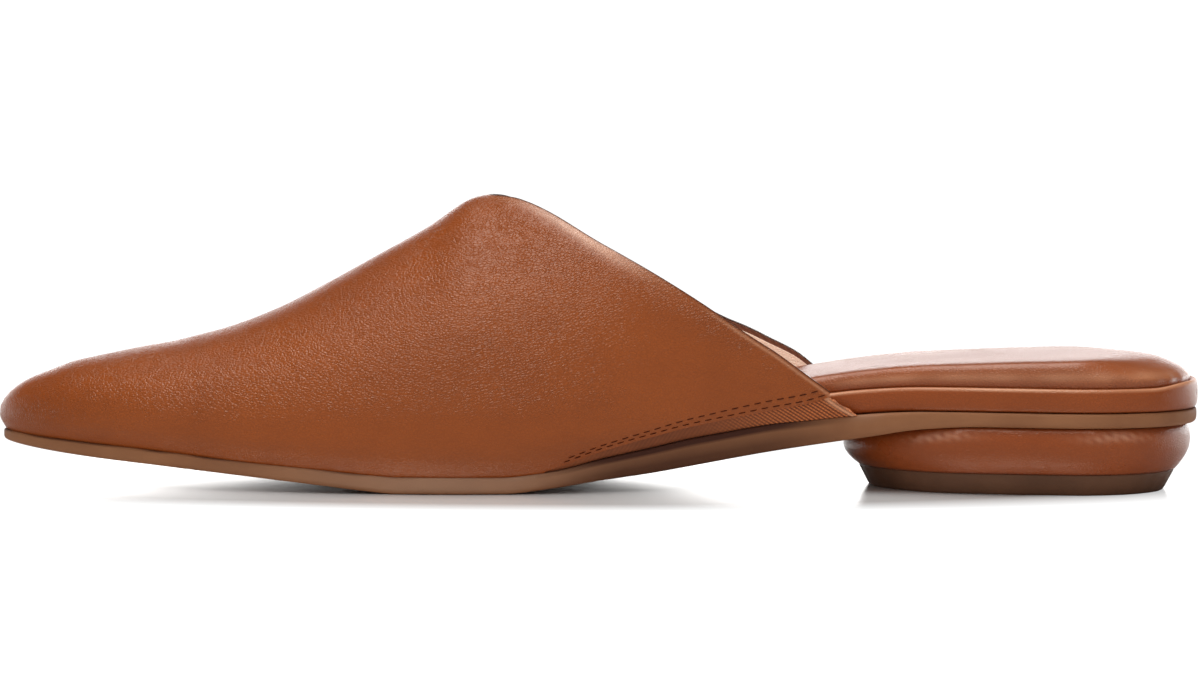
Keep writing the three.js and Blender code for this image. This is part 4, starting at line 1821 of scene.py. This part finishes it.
@dataclass(frozen=True)
class Studio:
    """Pale seamless floor, soft box, white surround and camera; lengths are in metres."""

    floor_reach: float = 6.0
    sheet: Colour = (0.92, 0.91, 0.895, 1.0)
    gloss: Colour = (0.86, 0.85, 0.84, 1.0)
    gloss_share: float = 0.6
    gloss_roughness: float = 0.16
    fade_centre: Triple = (0.0, 0.23, 0.0)
    fade_scale: Triple = (17.0, 7.4, 0.0)
    fade_end: float = 1.3
    backdrop: float = 1.1
    lamp_place: Triple = (0.04, 0.0, 1.2)
    lamp_size: tuple[float, float] = (0.8, 1.55)
    lamp_watts: float = 15.5
    glow_behind: float = 3.1
    camera_distance: float = 1.4
    camera_height: float = 0.118
    camera_aim: float = 0.0289
    camera_roll: float = math.radians(0.57)
    lens_mm: float = 192.0
    sensor_mm: float = 36.0

    def floor(self) -> None:
        """Lays the floor: a matt sheet with a gloss, fading to white outside an ellipse round the shoe."""
        reach = self.floor_reach / MM
        corners = np.array([[-1, -1, 0], [1, -1, 0], [1, 1, 0], [-1, 1, 0]]) * reach
        plane = Piece("floor", corners, np.array([[0, 1, 2, 3]]))
        material = bpy.data.materials.new("pale_floor")
        material.use_nodes = True
        material.node_tree.nodes.clear()
        n = Nodes(material.node_tree)
        place = n.object_coords()
        seen = n.add("LightPath").outputs["Is Camera Ray"]
        tone = n.blend(n.noise(place, 3.0), rgb(238, 236, 233), rgb(242, 240, 238))
        matt = n.add("BsdfDiffuse", {"Color": n.blend(seen, tone, self.sheet)})
        gloss = n.add("BsdfGlossy", {"Color": self.gloss, "Roughness": self.gloss_roughness})
        sheet = n.add("MixShader", {0: self.gloss_share, 1: matt.outputs[0], 2: gloss.outputs[0]})
        spread = n.add("Mapping", {"Vector": place, "Location": self.fade_centre, "Scale": self.fade_scale})
        around = n.add("VectorMath", {0: spread.outputs[0]}, operation="LENGTH").outputs["Value"]
        beyond = n.math("MULTIPLY", n.between(around, 1.0, self.fade_end), seen)
        white = n.add("Emission", {"Color": WHITE, "Strength": self.backdrop})
        mixed = n.add("MixShader", {0: beyond, 1: sheet.outputs[0], 2: white.outputs[0]})
        n.add("OutputMaterial", {0: mixed.outputs[0]})
        plane.object.data.materials.append(material)

    def lamp(self) -> None:
        """Hangs the soft box over the shoe, facing the origin."""
        light = bpy.data.lights.new("overhead", "AREA")
        light.shape = "RECTANGLE"
        light.size, light.size_y = self.lamp_size
        light.energy = self.lamp_watts
        lamp = bpy.data.objects.new("overhead", light)
        lamp.location = self.lamp_place
        lamp.rotation_euler = (-Vector(self.lamp_place)).to_track_quat("-Z", "Y").to_euler()
        bpy.context.scene.collection.objects.link(lamp)

    def surround(self) -> None:
        """Sets the white surround, brightest low down behind the shoe."""
        world = bpy.data.worlds.new("surround")
        world.use_nodes = True
        world.node_tree.nodes.clear()
        n = Nodes(world.node_tree)
        parts = n.add("SeparateXYZ", {0: n.add("TexCoord").outputs["Generated"]})
        behind = n.between(parts.outputs[0], -0.2, -0.7)
        low = n.between(parts.outputs[2], 0.26, 0.1)
        ahead = n.between(parts.outputs[0], -0.1, 0.35, 0.05, 0.5)
        glow = n.math("MULTIPLY", n.math("MULTIPLY", behind, low), self.glow_behind)
        seen = n.add("LightPath").outputs["Is Camera Ray"]
        backdrop = n.math("MULTIPLY", seen, self.backdrop)
        strength = n.math("MAXIMUM", n.math("ADD", glow, ahead), backdrop)
        back = n.add("Background", {"Color": WHITE, "Strength": strength})
        n.add("OutputWorld", {0: back.outputs[0]})
        bpy.context.scene.world = world

    def camera(self) -> None:
        """Places the camera square to the inner side, a little above the floor."""
        data = bpy.data.cameras.new("camera")
        data.sensor_width = self.sensor_mm
        data.lens = self.lens_mm
        camera = bpy.data.objects.new("camera", data)
        place = Vector((self.camera_distance, 0.0, self.camera_height))
        back = (place - Vector((0.0, 0.0, self.camera_aim))).normalized()
        right = Vector((0.0, 1.0, 0.0))
        basis = Matrix((right, back.cross(right), back)).transposed().to_4x4()
        camera.matrix_world = Matrix.Translation(place) @ basis @ Matrix.Rotation(self.camera_roll, 4, "Z")
        bpy.context.scene.collection.objects.link(camera)
        bpy.context.scene.camera = camera

    def build(self) -> None:
        """Sets the whole stage."""
        bpy.context.scene.view_settings.view_transform = "Standard"
        self.floor()
        self.lamp()
        self.surround()
        self.camera()


class Looks:
    """The finishes of the shoe."""

    def __init__(self, effects: Effects) -> None:
        """Builds each material once.

        Args:
            effects: shared node groups.
        """
        tight = 0.00004  # grain of leather drawn over a hard core, in metres
        # deep is the darker tone of the dye's mottle and grain creases, and the colour of painted shade.
        deep = rgb(112, 48, 17)
        self.upper = Leather("upper_leather", rgb(163, 81, 31), deep).material(effects)
        self.wrap = Leather("wrap_leather", rgb(163, 79, 33), deep, grain_metres=tight).material(effects)
        self.heel = Leather("heel_leather", rgb(160, 77, 33), deep, grain_metres=tight).material(effects)
        self.footbed = Leather(
            "footbed_leather", rgb(168, 88, 44), rgb(112, 52, 24), grain_metres=0.00006, coat=0.38
        ).material(effects)
        # The lining glows faintly: painted light that brightens the inside of the shoe.
        self.lining = Leather(
            "lining_leather", rgb(252, 224, 202), rgb(236, 200, 176), roughness=0.6, glow=0.28
        ).material(effects)
        self.sole = Rubber(
            "sole_rubber", rgb(162, 110, 74), rgb(142, 93, 61), rgb(66, 30, 14), rgb(188, 160, 138)
        ).material(effects)
        self.tip = Rubber(
            "tip_rubber", rgb(112, 76, 54), rgb(92, 61, 43), rgb(60, 40, 30), rgb(120, 96, 80), specks=-1.0
        ).material(effects)
        self.elastic = Elastic("elastic_webbing", rgb(226, 126, 66), rgb(80, 36, 15)).material(effects)
        self.tape = Elastic("collar_tape", rgb(178, 116, 84), rgb(104, 62, 44)).material(effects)
        self.thread = Thread("dark_thread", rgb(84, 32, 13), rgb(46, 14, 5)).material(effects)


def main() -> None:
    """Builds the shoe piece by piece."""
    logging.basicConfig(level=logging.INFO, format="%(name)s %(message)s")
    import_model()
    last = Last()
    platform = Platform(last)
    looks = Looks(Effects())
    Outsole(last).build(looks.sole)
    platform.build(looks.wrap)
    Footbed(platform).build(looks.footbed)
    Vamp(last).build(looks.upper, looks.lining, looks.tape)
    Gore(last).build(looks.elastic)
    Stitching(last).build(looks.thread)
    Heel(last).build(looks.heel, looks.tip)
    Studio().build()


if __name__ == "__main__":
    main()
